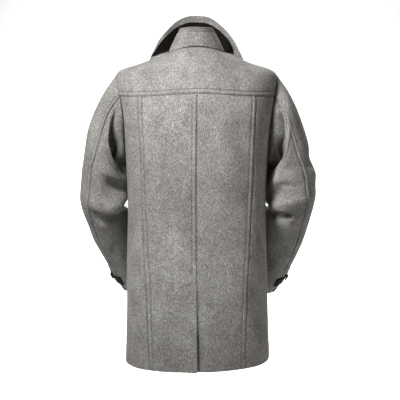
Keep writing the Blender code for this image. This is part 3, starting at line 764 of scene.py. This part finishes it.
def hem_relief(levels):
    """The free hem edge and the faint ridge where its turned-up allowance ends."""
    ridge = HEM_FOLD_HEIGHT * fade_out((levels - HEM_FOLD) / HEM_FOLD_FADE + 0.5)
    return (edge_height(levels - HEM_LEVEL) + ridge)[:, None]


def hem_and_yoke_relief(levels):
    return hem_relief(levels) + seam_height(YOKE_LEVEL - levels)[:, None]


def shoulder_flat(levels):
    """Share of a seam's groove that is left at each level: the shoulder seam is pressed flat."""
    return fade_out((levels - SHOULDER_LEVEL) / SHOULDER_PRESS)[:, None]


def make_backs(wool):
    levels = rows_between(BODY_ROWS, HEM_LEVEL, YOKE_LEVEL)
    seam = seam_angle(levels)
    fractions = eased(BACK_COLUMNS, SEAM_EASE)
    in_vent = smooth_step((VENT_MOUTH - levels) / VENT_MOUTH_FADE)[:, None]
    gape = VENT_LEAST_GAPE + (1.0 - VENT_LEAST_GAPE) * smooth_step((VENT_MOUTH - levels) / VENT_HEIGHT)
    gape = gape[:, None] * in_vent

    angles = across(-seam, np.zeros_like(levels), fractions)
    points = trimmed(body_surface(angles, levels))
    to_centre = column_distance(points, last=True)
    to_side = column_distance(points)
    relief = seam_height(to_side, stitched=True) + hem_and_yoke_relief(levels)
    relief = relief + (1.0 - in_vent) * seam_height(to_centre, stitched=True)
    relief = relief + in_vent * edge_height(to_centre)
    relief = relief - STITCH_SINK * segment_share(
        to_centre, levels[:, None], (STITCH_LINE, TACK_TOP),
        (STITCH_LINE + TACK_REACH, TACK_TOP - TACK_DROP), STITCH_SINK_REACH)
    swell = body_swell(points, angles, levels) + gape * VENT_LIFT * fade_out(to_centre / VENT_LIFT_REACH)
    outer, normals = cloth("back_left", points, swell, relief, wool)
    above = levels > TACK_TOP
    slant = np.linspace(0.0, 1.0, TACK_POINTS)
    tack = np.searchsorted(levels, TACK_TOP - TACK_DROP * slant)
    sew("back", *line_at(outer, normals, to_side, STITCH_LINE))
    sew("back", *line_at(outer[above], normals[above], to_centre[above], STITCH_LINE))
    sew("back", *line_at(outer[tack], normals[tack], to_centre[tack], STITCH_LINE + TACK_REACH * slant))

    under = np.degrees(np.arctan2(VENT_UNDERLAP, rings_at(levels).back))
    start = -under * np.clip((VENT_HEIGHT - levels) / VENT_SLANT, 0.0, 1.0)
    edge = np.full_like(levels, VENT_EDGE_ANGLE)
    angles = np.concatenate((across(start, edge, np.linspace(0.0, 1.0, UNDERLAP_COLUMNS))[:, :-1],
                             across(edge, seam, fractions)), axis=1)
    points = body_surface(angles, levels)
    tuck = smooth_step((VENT_EDGE_ANGLE - angles) / VENT_TUCK_ANGLE)
    tuck = tuck * np.clip((VENT_HEIGHT + VENT_SLANT - levels) / VENT_SLANT, 0.0, 1.0)[:, None]
    points = trimmed(points - grid_normals(points) * (tuck * (WALL + LAYER_GAP))[..., None])
    to_side = column_distance(points, last=True)
    relief = seam_height(to_side, stitched=True) + hem_and_yoke_relief(levels)
    relief = relief + (1.0 - in_vent) * seam_height(column_distance(points))
    near_vent = fade_out((angles - VENT_EDGE_ANGLE) / VENT_SINK_ANGLE)
    swell = body_swell(points, angles, levels) - gape * VENT_SINK * near_vent
    shell = cloth("back_right", points, swell, relief, wool)
    sew("back", *line_at(*shell, to_side, STITCH_LINE))


def make_sides(wool):
    levels = rows_between(BODY_ROWS, HEM_LEVEL, YOKE_LEVEL)
    seam = seam_angle(levels)
    back_edge = edge_angles(levels)[0]
    fractions = eased(SIDE_COLUMNS, SEAM_EASE)
    for node, start, end in (("side_left", -back_edge, -seam), ("side_right", seam, back_edge)):
        angles = across(start, end, fractions)
        points = trimmed(body_surface(angles, levels))
        relief = seam_height(column_distance(points)) + seam_height(column_distance(points, last=True))
        relief = relief + hem_and_yoke_relief(levels)
        cloth(node, points, body_swell(points, angles, levels), relief, wool)


def make_yoke(wool):
    levels = rows_between(BODY_ROWS, YOKE_LEVEL, NECK_LEVEL)
    back_edge = edge_angles(levels)[0]
    angles = across(-back_edge, back_edge, eased(YOKE_COLUMNS, SEAM_EASE))
    points = trimmed(body_surface(angles, levels))
    to_seam = row_distance(points)
    relief = seam_height(to_seam, stitched=True) + seam_height(row_distance(points, last=True))
    ends = LEFT_HEAD_PRESS * seam_height(column_distance(points))
    ends = ends + seam_height(column_distance(points, last=True))
    relief = relief + ends * shoulder_flat(levels)
    shell = cloth("yoke", points, body_swell(points, angles, levels), relief, wool)
    sew("yoke", *line_across(*shell, to_seam, STITCH_LINE))


# Wide collar in front, the fronts that carry it, and the stand at the back
EDGE_STITCH = 0.0075
COLLAR_FOOT_BLEND = 0.20
COLLAR_COLUMNS = 84
COLLAR_COLUMN_EASE = 0.6
COLLAR_ROWS = 46
COLLAR_ROW_EASE = 0.8
LINING_COLUMNS = 40
LINING_ROWS = 24
LINING_START_ANGLE = 98.0
LINING_EDGE_ANGLE = 0.3
LINING_TURN_ANGLE = 1.2
OVERLAP_MARGIN_ANGLE = 1.0
OVERLAP_STEP_ANGLE = OVERLAP_RISE_ANGLE * 0.75
STAND_COLUMNS = 72
STAND_COLUMN_EASE = 0.5
STAND_ROWS = 34
STAND_ROW_EASE = 0.7
STAND_TOP_POWER = 1.2
STAND_STITCHES = (0.0050, 0.0118)
NECK = np.array((NECK_LEVEL,))
BELOW_NECK = np.array((0.002, 0.001, 0.0))
COLLAR_FOOT = np.array(((0.0,), (0.02,), (0.04,)))
LAYER = WALL + LAYER_GAP
MIRROR = np.array((-1.0, 1.0, 1.0))


def collar_surface(angles, rises):
    """Points of the right half of the wide collar for an array of angles and a grid of rises."""
    base = body_surface(angles[None, :], NECK)[0]
    folded = np.where(angles <= FRONT_ANGLE, angles, 2 * FRONT_ANGLE - angles)
    edges = np.array(COLLAR_EDGE)
    top = smooth_table(edges[:, 0], edges[:, 1:], folded)
    top[:, 0] *= np.where(angles <= FRONT_ANGLE, 1.0, -1.0)
    turn = np.radians(angles)
    away = np.stack((np.sin(turn), -np.cos(turn), np.zeros_like(turn)), axis=-1)
    bow = COLLAR_BOW * np.maximum(-np.cos(turn), 0.0)
    up = rises[..., None]
    return base + (top - base) * up + (away * bow[:, None])[None] * np.sin(np.pi * up)


def overlap_share(angles, levels):
    """How far the left front has stepped out, from 0 to 1, to lie over the right one."""
    start = FRONT_ANGLE - overlap_angle(levels, FRONT_OVERLAP) - OVERLAP_RISE_ANGLE
    return smooth_step((np.abs(angles) - start[:, None]) / OVERLAP_STEP_ANGLE)


def neck_steps(angles):
    """One layer's step out at the neck seam on the right side, square to the front and to the collar."""
    front = grid_normals(body_surface(np.tile(angles, (3, 1)), NECK_LEVEL - BELOW_NECK))[-1]
    collar = grid_normals(collar_surface(angles, COLLAR_FOOT))[0]
    way = front + collar
    least = np.minimum((way * front).sum(axis=1), (way * collar).sum(axis=1))
    return way / least[:, None] * LAYER


def mirrored(points):
    """A grid of the right side as one of the left side, its columns still going to the right."""
    return (points * MIRROR)[:, ::-1]


def make_fronts(wool):
    levels = rows_between(BODY_ROWS, HEM_LEVEL, NECK_LEVEL)
    over = overlap_angle(levels, FRONT_OVERLAP)
    right_angles = across(edge_angles(levels)[1], FRONT_ANGLE + over, eased(FRONT_COLUMNS, SEAM_EASE))
    for node, angles in (("front_left", -right_angles[:, ::-1]), ("front_right", right_angles)):
        points = body_surface(angles, levels)
        left = node == "front_left"
        if left:
            at_neck = mirrored(neck_steps(right_angles[-1])[None])
            blend = np.clip((levels - NECK_LEVEL + NECK_BLEND) / NECK_BLEND, 0.0, 1.0)[:, None, None]
            steps = grid_normals(points) * LAYER * (1.0 - blend) + at_neck * blend
            points = points + steps * overlap_share(angles, levels)[..., None]
        points = trimmed(points)
        to_edge = column_distance(points, last=not left)
        relief = seam_height(column_distance(points, last=left)) * shoulder_flat(levels)
        relief = relief + seam_height(row_distance(points, last=True)) + hem_relief(levels)
        relief = relief + edge_height(to_edge) - sunk_line(to_edge, EDGE_STITCH)
        shell = cloth(node, points, body_swell(points, angles, levels), relief, wool)
        if left:
            sew("front", *line_at(*shell, to_edge, EDGE_STITCH))


def make_stand(wool):
    angles = SHOULDER_SEAM_ANGLE * (2.0 * eased(STAND_COLUMNS, STAND_COLUMN_EASE) - 1.0)
    rises = eased(STAND_ROWS, STAND_ROW_EASE)
    base = body_surface(angles[None, :], NECK)[0]
    turn = np.radians(angles)
    rise = np.maximum(np.cos(turn), 0.0) ** STAND_TOP_POWER
    top = np.stack((STAND_HALF_WIDTH * np.sin(turn), -STAND_BACK * np.cos(turn),
                    STAND_TOP_SIDE + (STAND_TOP_BACK - STAND_TOP_SIDE) * rise), axis=-1)
    points = trimmed(base + (top - base) * rises[:, None, None])
    to_top = row_distance(points, last=True)
    relief = seam_height(row_distance(points)) + edge_height(to_top)
    for line in STAND_STITCHES:
        relief = relief - sunk_line(to_top, line)
    shell = cloth("collar_stand", points, waves(points), relief, wool)
    for line in STAND_STITCHES:
        sew("collar", *line_across(*shell, to_top, line))


def collar_half(angles, rises, left):
    """The right half of the wide collar, stepped out by one layer where it is to be the left half."""
    points = collar_surface(angles, rises)
    if left:
        blend = np.clip(rises / COLLAR_FOOT_BLEND, 0.0, 1.0)[..., None]
        steps = neck_steps(angles)[None] * (1.0 - blend) + grid_normals(points) * LAYER * blend
        points = points + steps * overlap_share(angles[None, :], NECK)[..., None]
    return points


def make_collars(wool, lining):
    over = overlap_angle(NECK, FRONT_OVERLAP)[0]
    end = FRONT_ANGLE + over
    left_lining_end = FRONT_ANGLE - over - OVERLAP_MARGIN_ANGLE - LINING_EDGE_ANGLE
    angles = SHOULDER_SEAM_ANGLE + (end - SHOULDER_SEAM_ANGLE) * eased(COLLAR_COLUMNS, COLLAR_COLUMN_EASE)
    rises = eased(COLLAR_ROWS, COLLAR_ROW_EASE)[:, None]
    tops = LiningTop(*np.transpose(PAINTED_SHADE_LINING_TOPS))
    # Dark lining, partly the collar's own inside and partly painted shade: its unequal reach on the two
    # sides stands in for the shade inside the collar
    for side, lining_end, top in (("left", left_lining_end, tops.left),
                                  ("right", end + LINING_TURN_ANGLE, tops.right)):
        left = side == "left"
        points = collar_half(angles, rises, left)
        inner_angles = np.linspace(LINING_START_ANGLE, lining_end, LINING_COLUMNS)
        inner_tops = np.interp(inner_angles, tops.angle, top)
        inside = collar_half(inner_angles, np.linspace(LINING_FOOT, inner_tops, LINING_ROWS), left)
        if left:
            points = mirrored(points)
            inside = mirrored(inside)
        points = trimmed(points)
        to_top = row_distance(points, last=True)
        relief = seam_height(row_distance(points)) + edge_height(to_top) - sunk_line(to_top, EDGE_STITCH)
        shell = cloth(f"collar_front_{side}", points, waves(points), relief, wool)
        places, ways = line_across(*shell, to_top, EDGE_STITCH)
        sew("collar", places, ways)
        sew("collar", places - ways * WALL, -ways)
        inside = inside - grid_normals(inside) * (WALL + LINING_GAP)
        plain = np.zeros(inside.shape[:2])
        cloth(f"collar_lining_{side}", inside, plain, plain, lining)


# Sleeves
SLEEVE_COLUMNS = 70
SLEEVE_ROWS = 156
SLEEVE_EASE = 0.75
HEAD_BLEND = 0.020


def armhole_points(side, turns):
    """Armhole edge at each turn of the sleeve: 0 at the shoulder, 90 at the back, 180 at the armpit."""
    rows = (180.0 - np.abs(half_turn(turns))) / (180.0 / ARMHOLE_ROWS)
    levels = armhole_level(rows)
    back, front = armhole_span(levels)
    angles = np.where(np.sin(np.radians(turns)) > 0, back, front)
    return body_surface(side * angles[:, None], levels)[:, 0]


def ring_points(side, ring, turns):
    """Points of a sleeve ring at each turn: 0 lateral, 90 back, 180 medial."""
    outer = np.array((side * ring.outer_x, ring.mid_y, ring.outer_z))
    inner = np.array((side * ring.inner_x, ring.mid_y, ring.inner_z))
    pitch = math.radians(ring.pitch)
    back = np.array((0.0, -math.cos(pitch), -math.sin(pitch))) * ring.half_depth
    turned = np.radians(turns)[:, None]
    return (outer + inner) / 2 + (outer - inner) / 2 * np.cos(turned) + back * np.sin(turned)


def sleeve_surface(sleeve, turns, runs):
    """Outer points of a sleeve for a grid of turns, one run to each row, with its large folds."""
    places = [0.0] + [ring.run for ring in sleeve.rings]
    flat = turns.reshape(-1)
    edge = armhole_points(sleeve.side, flat)
    stations = [edge]
    centres = [(edge + armhole_points(sleeve.side, flat + 180.0)) / 2]
    for ring in sleeve.rings:
        stations.append(ring_points(sleeve.side, ring, flat))
        ends = ring_points(sleeve.side, ring, np.array((0.0, 180.0)))
        centres.append(np.broadcast_to(ends.mean(axis=0), edge.shape))
    weights = smooth_table(places, np.eye(len(places)), runs)
    points, middle = (np.einsum("rk,krcx->rcx", weights, np.reshape(rings, (-1, *turns.shape, 3)))
                      for rings in (stations, centres))
    swell = np.zeros(turns.shape)
    for fold in sleeve.folds:
        around = half_turn(turns - fold.angle)
        swell += fold.depth * np.exp(-((runs[:, None] - fold.run) / fold.run_reach) ** 2
                                     - (around / fold.angle_reach) ** 2)
    return points + unit(points - middle) * swell[..., None]


def make_sleeves(wool):
    runs = rows_between(np.linspace(0.0, SLEEVE_LENGTH, SLEEVE_ROWS), 0.0, SLEEVE_LENGTH)
    elbow = smooth_table([place.run for place in ELBOW_SEAM], [place.angle for place in ELBOW_SEAM], runs)
    front = np.full_like(runs, FRONT_SEAM_ANGLE)
    seams = {"upper": (front, elbow), "under": (elbow, front + 360.0)}
    fractions = eased(SLEEVE_COLUMNS, SLEEVE_EASE)
    for sleeve in SLEEVES:
        left = sleeve.name == "left"
        for part, (start, end) in seams.items():
            upper = part == "upper"
            turns = across(start, end, fractions)
            if left:
                turns = turns[:, ::-1]
            points = trimmed(sleeve_surface(sleeve, turns, runs), SEAM_GAP)
            swell = sleeve_creases(sleeve.creases, turns, runs) + waves(points)
            swell = swell + sleeve_recess(sleeve.ridge, turns, runs)
            swell = swell + contact_swell(sleeve.contact, turns, runs)
            swell = swell * smooth_step(runs / HEAD_BLEND)[:, None]
            points = kept_off_body(points + grid_normals(points) * swell[..., None], sleeve.side)
            elbow_last = upper != left
            to_elbow = column_distance(points, last=elbow_last)
            relief = seam_height(to_elbow, stitched=upper)
            relief = relief + seam_height(column_distance(points, last=not elbow_last))
            head_share = LEFT_HEAD_PRESS if left and upper else 1.0
            relief = relief + head_share * seam_height(row_distance(points))
            relief = relief + edge_height(row_distance(points, last=True))
            shell = cloth(f"sleeve_{sleeve.name}_{part}", points, np.zeros(turns.shape), relief, wool)
            if upper:
                sew(f"sleeve_{sleeve.name}", *line_at(*shell, to_elbow, STITCH_LINE))


# Straps
STRAP_START = 0.608
STRAP_END = 0.644
STRAP_MARGIN = 0.04
STRAP_START_ANGLE = -18.0
STRAP_END_ANGLE = 72.0
STRAP_STEP = 18.0
STRAP_WALL = 0.0028
STRAP_LIFT = 0.010
STRAP_LEAST_LIFT = 0.2
STRAP_EDGE_ROLL = 0.4
STRAP_EDGE_ROUND = 0.0018
STRAP_STITCH = 0.0030
STRAP_STITCH_SINK = 0.0005
STRAP_STITCH_REACH = 0.0008
STRAP_COLUMNS = 60
STRAP_COLUMN_EASE = 0.7
STRAP_ROWS = 26
STRAP_ROW_EASE = 0.6

# Buttons
BUTTON_RADIUS = 0.0125
CUFF_BUTTON_RADIUS = 0.0095
BUTTON_GAP = 0.0010
BUTTON_HEIGHT = 0.0040
BUTTON_SIDES = 60
BUTTON_HOLES = 4
BUTTON_HOLE_PLACE = 0.21
BUTTON_HOLE_RIM = 0.10625
BUTTON_HOLE_SLOPE = 0.0425
BUTTON_HOLE_DEPTH = 0.0016
FRONT_BUTTON_LEVELS = (0.330, 0.450, 0.570, 0.690)
# Shares of the radius and of the height, round a button's section from its back to its middle
BUTTON_PROFILE = (
    (0.00, 0.00), (0.40, 0.00), (0.80, 0.00), (0.90, 0.04), (0.97, 0.16), (1.00, 0.36), (1.00, 0.60),
    (0.985, 0.80), (0.95, 0.93), (0.90, 1.00), (0.84, 1.00), (0.78, 0.95), (0.72, 0.85), (0.66, 0.76),
    (0.60, 0.71), (0.52, 0.69), (0.44, 0.69), (0.38, 0.69), (0.34, 0.69), (0.30, 0.69), (0.27, 0.69),
    (0.24, 0.69), (0.21, 0.69), (0.18, 0.69), (0.15, 0.69), (0.12, 0.69), (0.08, 0.69), (0.04, 0.69),
    (0.00, 0.69))
# Steps to the places beside a button, whose grid gives the way that it faces
BESIDE = np.array((-1.0, 0.0, 1.0))
BESIDE_STEP = 0.001
BESIDE_ANGLE = 0.5


def button(node, near, lift, radius, horn):
    """A dished round button with sunk holes, lifted off the middle of a grid of three by three places."""
    facing = grid_normals(near)[1, 1]
    place = near[1, 1] + facing * lift
    first = unit(np.cross(facing, (0.0, 0.0, 1.0)))
    second = np.cross(facing, first)
    turns = 2 * np.pi * np.arange(BUTTON_SIDES) / BUTTON_SIDES
    profile = np.array(BUTTON_PROFILE[1:-1])
    top_row = int(np.argmax(profile[:, 1]))
    height = np.repeat(profile[:, 1:2] * BUTTON_HEIGHT, BUTTON_SIDES, axis=1)
    flat_x = profile[:, :1] * np.cos(turns)
    flat_y = profile[:, :1] * np.sin(turns)
    for hole in range(BUTTON_HOLES):
        turn = 2 * math.pi * (hole + 0.5) / BUTTON_HOLES
        hole_x = BUTTON_HOLE_PLACE * math.cos(turn)
        hole_y = BUTTON_HOLE_PLACE * math.sin(turn)
        away = np.hypot(flat_x - hole_x, flat_y - hole_y)
        dip = smooth_step((BUTTON_HOLE_RIM - away) / BUTTON_HOLE_SLOPE) * BUTTON_HOLE_DEPTH
        height[top_row:] -= dip[top_row:]
    points = place + facing * (height[..., None] + BUTTON_GAP) + radius * (
        first * flat_x[..., None] + second * flat_y[..., None])
    back = place + facing * BUTTON_GAP
    middle = back + facing * BUTTON_PROFILE[-1][1] * BUTTON_HEIGHT
    vertices = np.concatenate((points.reshape(-1, 3), [back, middle]))
    last = (len(profile) - 1) * BUTTON_SIDES
    back_index = last + BUTTON_SIDES
    faces = []
    for side in range(BUTTON_SIDES):
        after = (side + 1) % BUTTON_SIDES
        faces.append((back_index, side, after))
        for low in range(0, last, BUTTON_SIDES):
            high = low + BUTTON_SIDES
            faces.append((low + side, high + side, high + after, low + after))
        faces.append((last + side, back_index + 1, last + after))
    made = mesh_object(f"{node}_horn", vertices, faces, horn)
    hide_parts(node)


def make_straps(leather, horn):
    margin = (STRAP_END - STRAP_START) * STRAP_MARGIN
    low = STRAP_START + margin
    high = STRAP_END - margin
    runs = low + (high - low) * eased(STRAP_ROWS, STRAP_ROW_EASE)
    sweep = STRAP_END_ANGLE - STRAP_START_ANGLE
    turns = STRAP_START_ANGLE + sweep * eased(STRAP_COLUMNS, STRAP_COLUMN_EASE)
    for sleeve in SLEEVES:
        around = np.tile(turns[::sleeve.side], (STRAP_ROWS, 1))
        points = sleeve_surface(sleeve, around, runs)
        lift = LAYER_GAP + STRAP_WALL + STRAP_LIFT * smooth_step(STRAP_LEAST_LIFT - around / STRAP_STEP)
        swell = sleeve_creases(sleeve.creases, around, runs) + waves(points)
        points = points + grid_normals(points) * (lift + swell)[..., None]
        to_edge = np.min([distance(points, last) for distance in (row_distance, column_distance)
                          for last in (False, True)], axis=0)
        relief = edge_height(to_edge, STRAP_EDGE_ROLL * STRAP_WALL, STRAP_EDGE_ROUND)
        relief = relief - sunk_line(to_edge, STRAP_STITCH, STRAP_STITCH_SINK, STRAP_STITCH_REACH)
        cloth(f"cuff_strap_{sleeve.name}", points, np.zeros(relief.shape), relief, leather)
        near = sleeve_surface(sleeve, np.tile(STRAP_STEP + BESIDE * sleeve.side, (3, 1)),
                              (STRAP_START + STRAP_END) / 2 + BESIDE * BESIDE_STEP)
        button(f"cuff_button_{sleeve.name}", near, LAYER_GAP + STRAP_WALL, CUFF_BUTTON_RADIUS, horn)


def make_front_buttons(horn):
    for number, level in enumerate(FRONT_BUTTON_LEVELS, start=1):
        around = np.tile(FRONT_ANGLE + BESIDE * BESIDE_ANGLE, (3, 1))
        near = body_surface(around, level + BESIDE * BESIDE_STEP)
        button(f"front_button_{number}", near, LAYER, BUTTON_RADIUS, horn)


# Materials, all procedural on the object's own coordinates
Noise = namedtuple("Noise", "scale detail roughness")
WOOL_FIBRE = Noise((700.0, 700.0, 260.0), 3.0, 0.65)
WOOL_FLECK = Noise((300.0, 300.0, 190.0), 2.0, 0.6)
WOOL_CLOUD = Noise((26.0, 26.0, 17.0), 2.0, 0.5)
FIBRE_SHARE = 0.50
FLECK_SHARE = 0.42
CLOUD_SHARE = 0.16
WOOL_STOPS = ((0.34, (0.060, 0.056, 0.051)), (0.54, (0.250, 0.242, 0.228)), (0.74, (0.600, 0.590, 0.565)))
WOOL_ROUGHNESS = 0.95
WOOL_SHEEN = 0.10
SHEEN_ROUGHNESS = 0.5
WOOL_SPECULAR = 0.12
WOOL_BUMP = 0.35
WOOL_BUMP_HEIGHT = 0.0008
GRAIN_DETAIL = 3.0
GRAIN_ROUGHNESS = 0.6
GRAIN_HEIGHT = 0.0005
WHITE = (1.0, 1.0, 1.0)
Finish = namedtuple("Finish", "colour roughness grain bump specular")
FINISHES = {
    # Lining: near-black, partly the cloth's own colour and partly painted shade inside the collar
    "lining": Finish((0.0075, 0.0060, 0.0050), 0.85, 900.0, 0.15, 0.10),
    "leather": Finish((0.0070, 0.0058, 0.0050), 0.62, 700.0, 0.25, 0.12),
    "horn": Finish((0.014, 0.011, 0.009), 0.35, 160.0, 0.10, 0.40),
    "thread": Finish((0.150, 0.145, 0.136), 0.80, 1500.0, 0.20, 0.40),
}


def shader_node(tree, kind, **inputs):
    made = tree.nodes.new(kind)
    for name, value in inputs.items():
        made.inputs[name].default_value = value
    return made


def noise(tree, scale, detail, roughness):
    place = shader_node(tree, "ShaderNodeTexCoord")
    mapping = shader_node(tree, "ShaderNodeMapping", Scale=scale)
    made = shader_node(tree, "ShaderNodeTexNoise", Scale=1.0, Detail=detail, Roughness=roughness)
    tree.links.new(place.outputs["Object"], mapping.inputs["Vector"])
    tree.links.new(mapping.outputs["Vector"], made.inputs["Vector"])
    return made.outputs["Fac"]


def combine(tree, operation, first, second):
    made = shader_node(tree, "ShaderNodeMath")
    made.operation = operation
    for index, value in enumerate((first, second)):
        if isinstance(value, float):
            made.inputs[index].default_value = value
        else:
            tree.links.new(value, made.inputs[index])
    return made.outputs["Value"]


def ramp(tree, fac, *stops):
    made = shader_node(tree, "ShaderNodeValToRGB")
    elements = made.color_ramp.elements
    while len(elements) < len(stops):
        elements.new(0.5)
    for element, (place, colour) in zip(elements, stops):
        element.position = place
        element.color = (*colour, 1.0)
    tree.links.new(fac, made.inputs["Fac"])
    return made.outputs["Color"]


def surface(name, roughness, specular, sheen=0.0):
    made = bpy.data.materials.new(name)
    made.use_nodes = True
    shader = made.node_tree.nodes["Principled BSDF"]
    shader.inputs["Roughness"].default_value = roughness
    shader.inputs["Specular IOR Level"].default_value = specular
    shader.inputs["Sheen Weight"].default_value = sheen
    shader.inputs["Sheen Roughness"].default_value = SHEEN_ROUGHNESS
    return made, made.node_tree, shader


def bump(tree, shader, height, strength, distance):
    made = shader_node(tree, "ShaderNodeBump", Strength=strength, Distance=distance)
    tree.links.new(height, made.inputs["Height"])
    tree.links.new(made.outputs["Normal"], shader.inputs["Normal"])


def wool_material():
    """Mottled wool, with painted shade darkening the bottom of seams and stitch lines."""
    made, tree, shader = surface("wool", WOOL_ROUGHNESS, WOOL_SPECULAR, WOOL_SHEEN)
    fibre, fleck, cloud = (noise(tree, *kind) for kind in (WOOL_FIBRE, WOOL_FLECK, WOOL_CLOUD))
    mixed = combine(tree, "MULTIPLY", fibre, FIBRE_SHARE)
    for grain, share in ((fleck, FLECK_SHARE), (cloud, CLOUD_SHARE)):
        mixed = combine(tree, "ADD", mixed, combine(tree, "MULTIPLY", grain, share))
    # Painted shade: the mottled colour multiplied down where seams and stitch lines sink
    groove = shader_node(tree, "ShaderNodeAttribute")
    groove.attribute_name = PAINTED_SHADE_NAME
    painted_shade_wool = shader_node(tree, "ShaderNodeVectorMath")
    painted_shade_wool.operation = "MULTIPLY"
    tree.links.new(ramp(tree, mixed, *WOOL_STOPS), painted_shade_wool.inputs[0])
    painted_shade = ramp(tree, groove.outputs["Fac"], (0.0, WHITE), (1.0, (GROOVE_PAINTED_SHADE,) * 3))
    tree.links.new(painted_shade, painted_shade_wool.inputs[1])
    tree.links.new(painted_shade_wool.outputs["Vector"], shader.inputs["Base Color"])
    bump(tree, shader, combine(tree, "ADD", fibre, fleck), WOOL_BUMP, WOOL_BUMP_HEIGHT)
    return made


def plain_material(name):
    finish = FINISHES[name]
    made, tree, shader = surface(name, finish.roughness, finish.specular)
    shader.inputs["Base Color"].default_value = (*finish.colour, 1.0)
    grain = noise(tree, (finish.grain,) * 3, GRAIN_DETAIL, GRAIN_ROUGHNESS)
    bump(tree, shader, grain, finish.bump, GRAIN_HEIGHT)
    return made


# Studio: pale floor that runs up into a backdrop, soft lights and the camera
FLOOR_HEIGHT = -1.25
FLOOR_NEAR = -7.0
FLOOR_FAR = 3.2
BACKDROP_TOP = 6.0
BACKDROP_ROUND = 1.2
BACKDROP_STEPS = 14
FLOOR_HALF_WIDTH = 9.0
FLOOR_COLOUR = (0.92, 0.92, 0.92)
FLOOR_ROUGHNESS = 0.9
FLOOR_GLOW = 0.01
CAMERA_ELEVATION = math.radians(9.0)
CAMERA_DISTANCE = 3.6
CAMERA_AIM = Vector((0.0098, 0.0, -0.4305))
CAMERA_SENSOR = 36.0
CAMERA_LENS = 115.74
WORLD_LIGHT = 0.004


def make_floor():
    profile = [(FLOOR_NEAR, FLOOR_HEIGHT)]
    for turn in np.linspace(0.0, math.pi / 2, BACKDROP_STEPS):
        profile.append((FLOOR_FAR + BACKDROP_ROUND * math.sin(turn),
                        FLOOR_HEIGHT + BACKDROP_ROUND * (1 - math.cos(turn))))
    profile.append((FLOOR_FAR + BACKDROP_ROUND, BACKDROP_TOP))
    vertices = [(side * FLOOR_HALF_WIDTH, y, z) for y, z in profile for side in (-1, 1)]
    faces = [(2 * row, 2 * row + 1, 2 * row + 3, 2 * row + 2) for row in range(len(profile) - 1)]
    mesh = bpy.data.meshes.new("floor")
    mesh.from_pydata(vertices, [], faces)
    mesh.shade_smooth()
    material, _, shader = surface("floor", FLOOR_ROUGHNESS, 0.0)
    shader.inputs["Base Color"].default_value = (*FLOOR_COLOUR, 1.0)
    shader.inputs["Emission Color"].default_value = (*WHITE, 1.0)
    shader.inputs["Emission Strength"].default_value = FLOOR_GLOW
    mesh.materials.append(material)
    floor = bpy.data.objects.new("floor", mesh)
    bpy.context.scene.collection.objects.link(floor)


Lamp = namedtuple("Lamp", "name place aim size power spread colour")
WARM = (1.0, 0.945, 0.890)
LAMPS = table(
    Lamp,
    ("key", (-0.82, -1.15, 0.83), (-0.03, -0.1, -0.15), 0.4, 8.0, 80.0, WHITE),
    ("left", (-2.00, -0.60, 0.80), (0.0, 0.0, -0.30), 0.8, 4.5, 180.0, WARM),
    ("right", (2.00, -0.80, 0.80), (0.0, 0.0, -0.30), 0.8, 10.0, 180.0, WARM),
    ("fill", (-1.30, -1.70, 1.50), (0.0, 0.0, -0.30), 0.8, 6.0, 180.0, WHITE),
    ("low back", (-0.30, -1.90, -0.10), (-0.08, -0.14, -0.64), 0.3, 0.12, 14.0, WHITE),
    ("upper back", (-1.15, -1.45, 0.40), (0.09, -0.13, -0.24), 0.3, 0.12, 10.0, WHITE),
    ("front", (0.80, 2.00, 1.30), (0.0, 0.1, -0.40), 0.8, 17.0, 120.0, WHITE),
    ("backdrop", (0.0, 2.6, 2.4), (0.0, 3.0, -1.2), 2.6, 112.0, 85.0, WHITE),
)


def make_lights():
    for lamp in LAMPS:
        light = bpy.data.lights.new(lamp.name, "AREA")
        light.size = lamp.size
        light.energy = lamp.power
        light.color = lamp.colour
        light.spread = math.radians(lamp.spread)
        made = bpy.data.objects.new(lamp.name, light)
        made.location = lamp.place
        aim = Vector(lamp.aim) - made.location
        made.rotation_euler = aim.to_track_quat("-Z", "Y").to_euler()
        bpy.context.scene.collection.objects.link(made)
    world = bpy.data.worlds.new("studio")
    world.use_nodes = True
    sky = world.node_tree.nodes["Background"].inputs
    sky["Color"].default_value = (*WHITE, 1.0)
    sky["Strength"].default_value = WORLD_LIGHT
    bpy.context.scene.world = world


def make_camera():
    data = bpy.data.cameras.new("camera")
    data.sensor_width = CAMERA_SENSOR
    data.lens = CAMERA_LENS
    camera = bpy.data.objects.new("camera", data)
    back = Vector((0.0, -math.cos(CAMERA_ELEVATION), math.sin(CAMERA_ELEVATION)))
    camera.location = CAMERA_AIM + back * CAMERA_DISTANCE
    camera.rotation_euler = (math.pi / 2 - CAMERA_ELEVATION, 0.0, 0.0)
    bpy.context.scene.collection.objects.link(camera)
    bpy.context.scene.camera = camera


def main():
    wool = Stuff(wool_material(), "wool", WALL)
    lining = Stuff(plain_material("lining"), "lining", LINING_WALL)
    leather = Stuff(plain_material("leather"), "strap", STRAP_WALL)
    horn = plain_material("horn")
    thread = plain_material("thread")
    make_backs(wool)
    make_sides(wool)
    make_yoke(wool)
    make_fronts(wool)
    make_stand(wool)
    make_collars(wool, lining)
    make_sleeves(wool)
    make_straps(leather, horn)
    make_front_buttons(horn)
    make_stitches(thread)
    make_floor()
    make_lights()
    make_camera()
    bpy.context.scene.view_settings.view_transform = "Standard"


main()
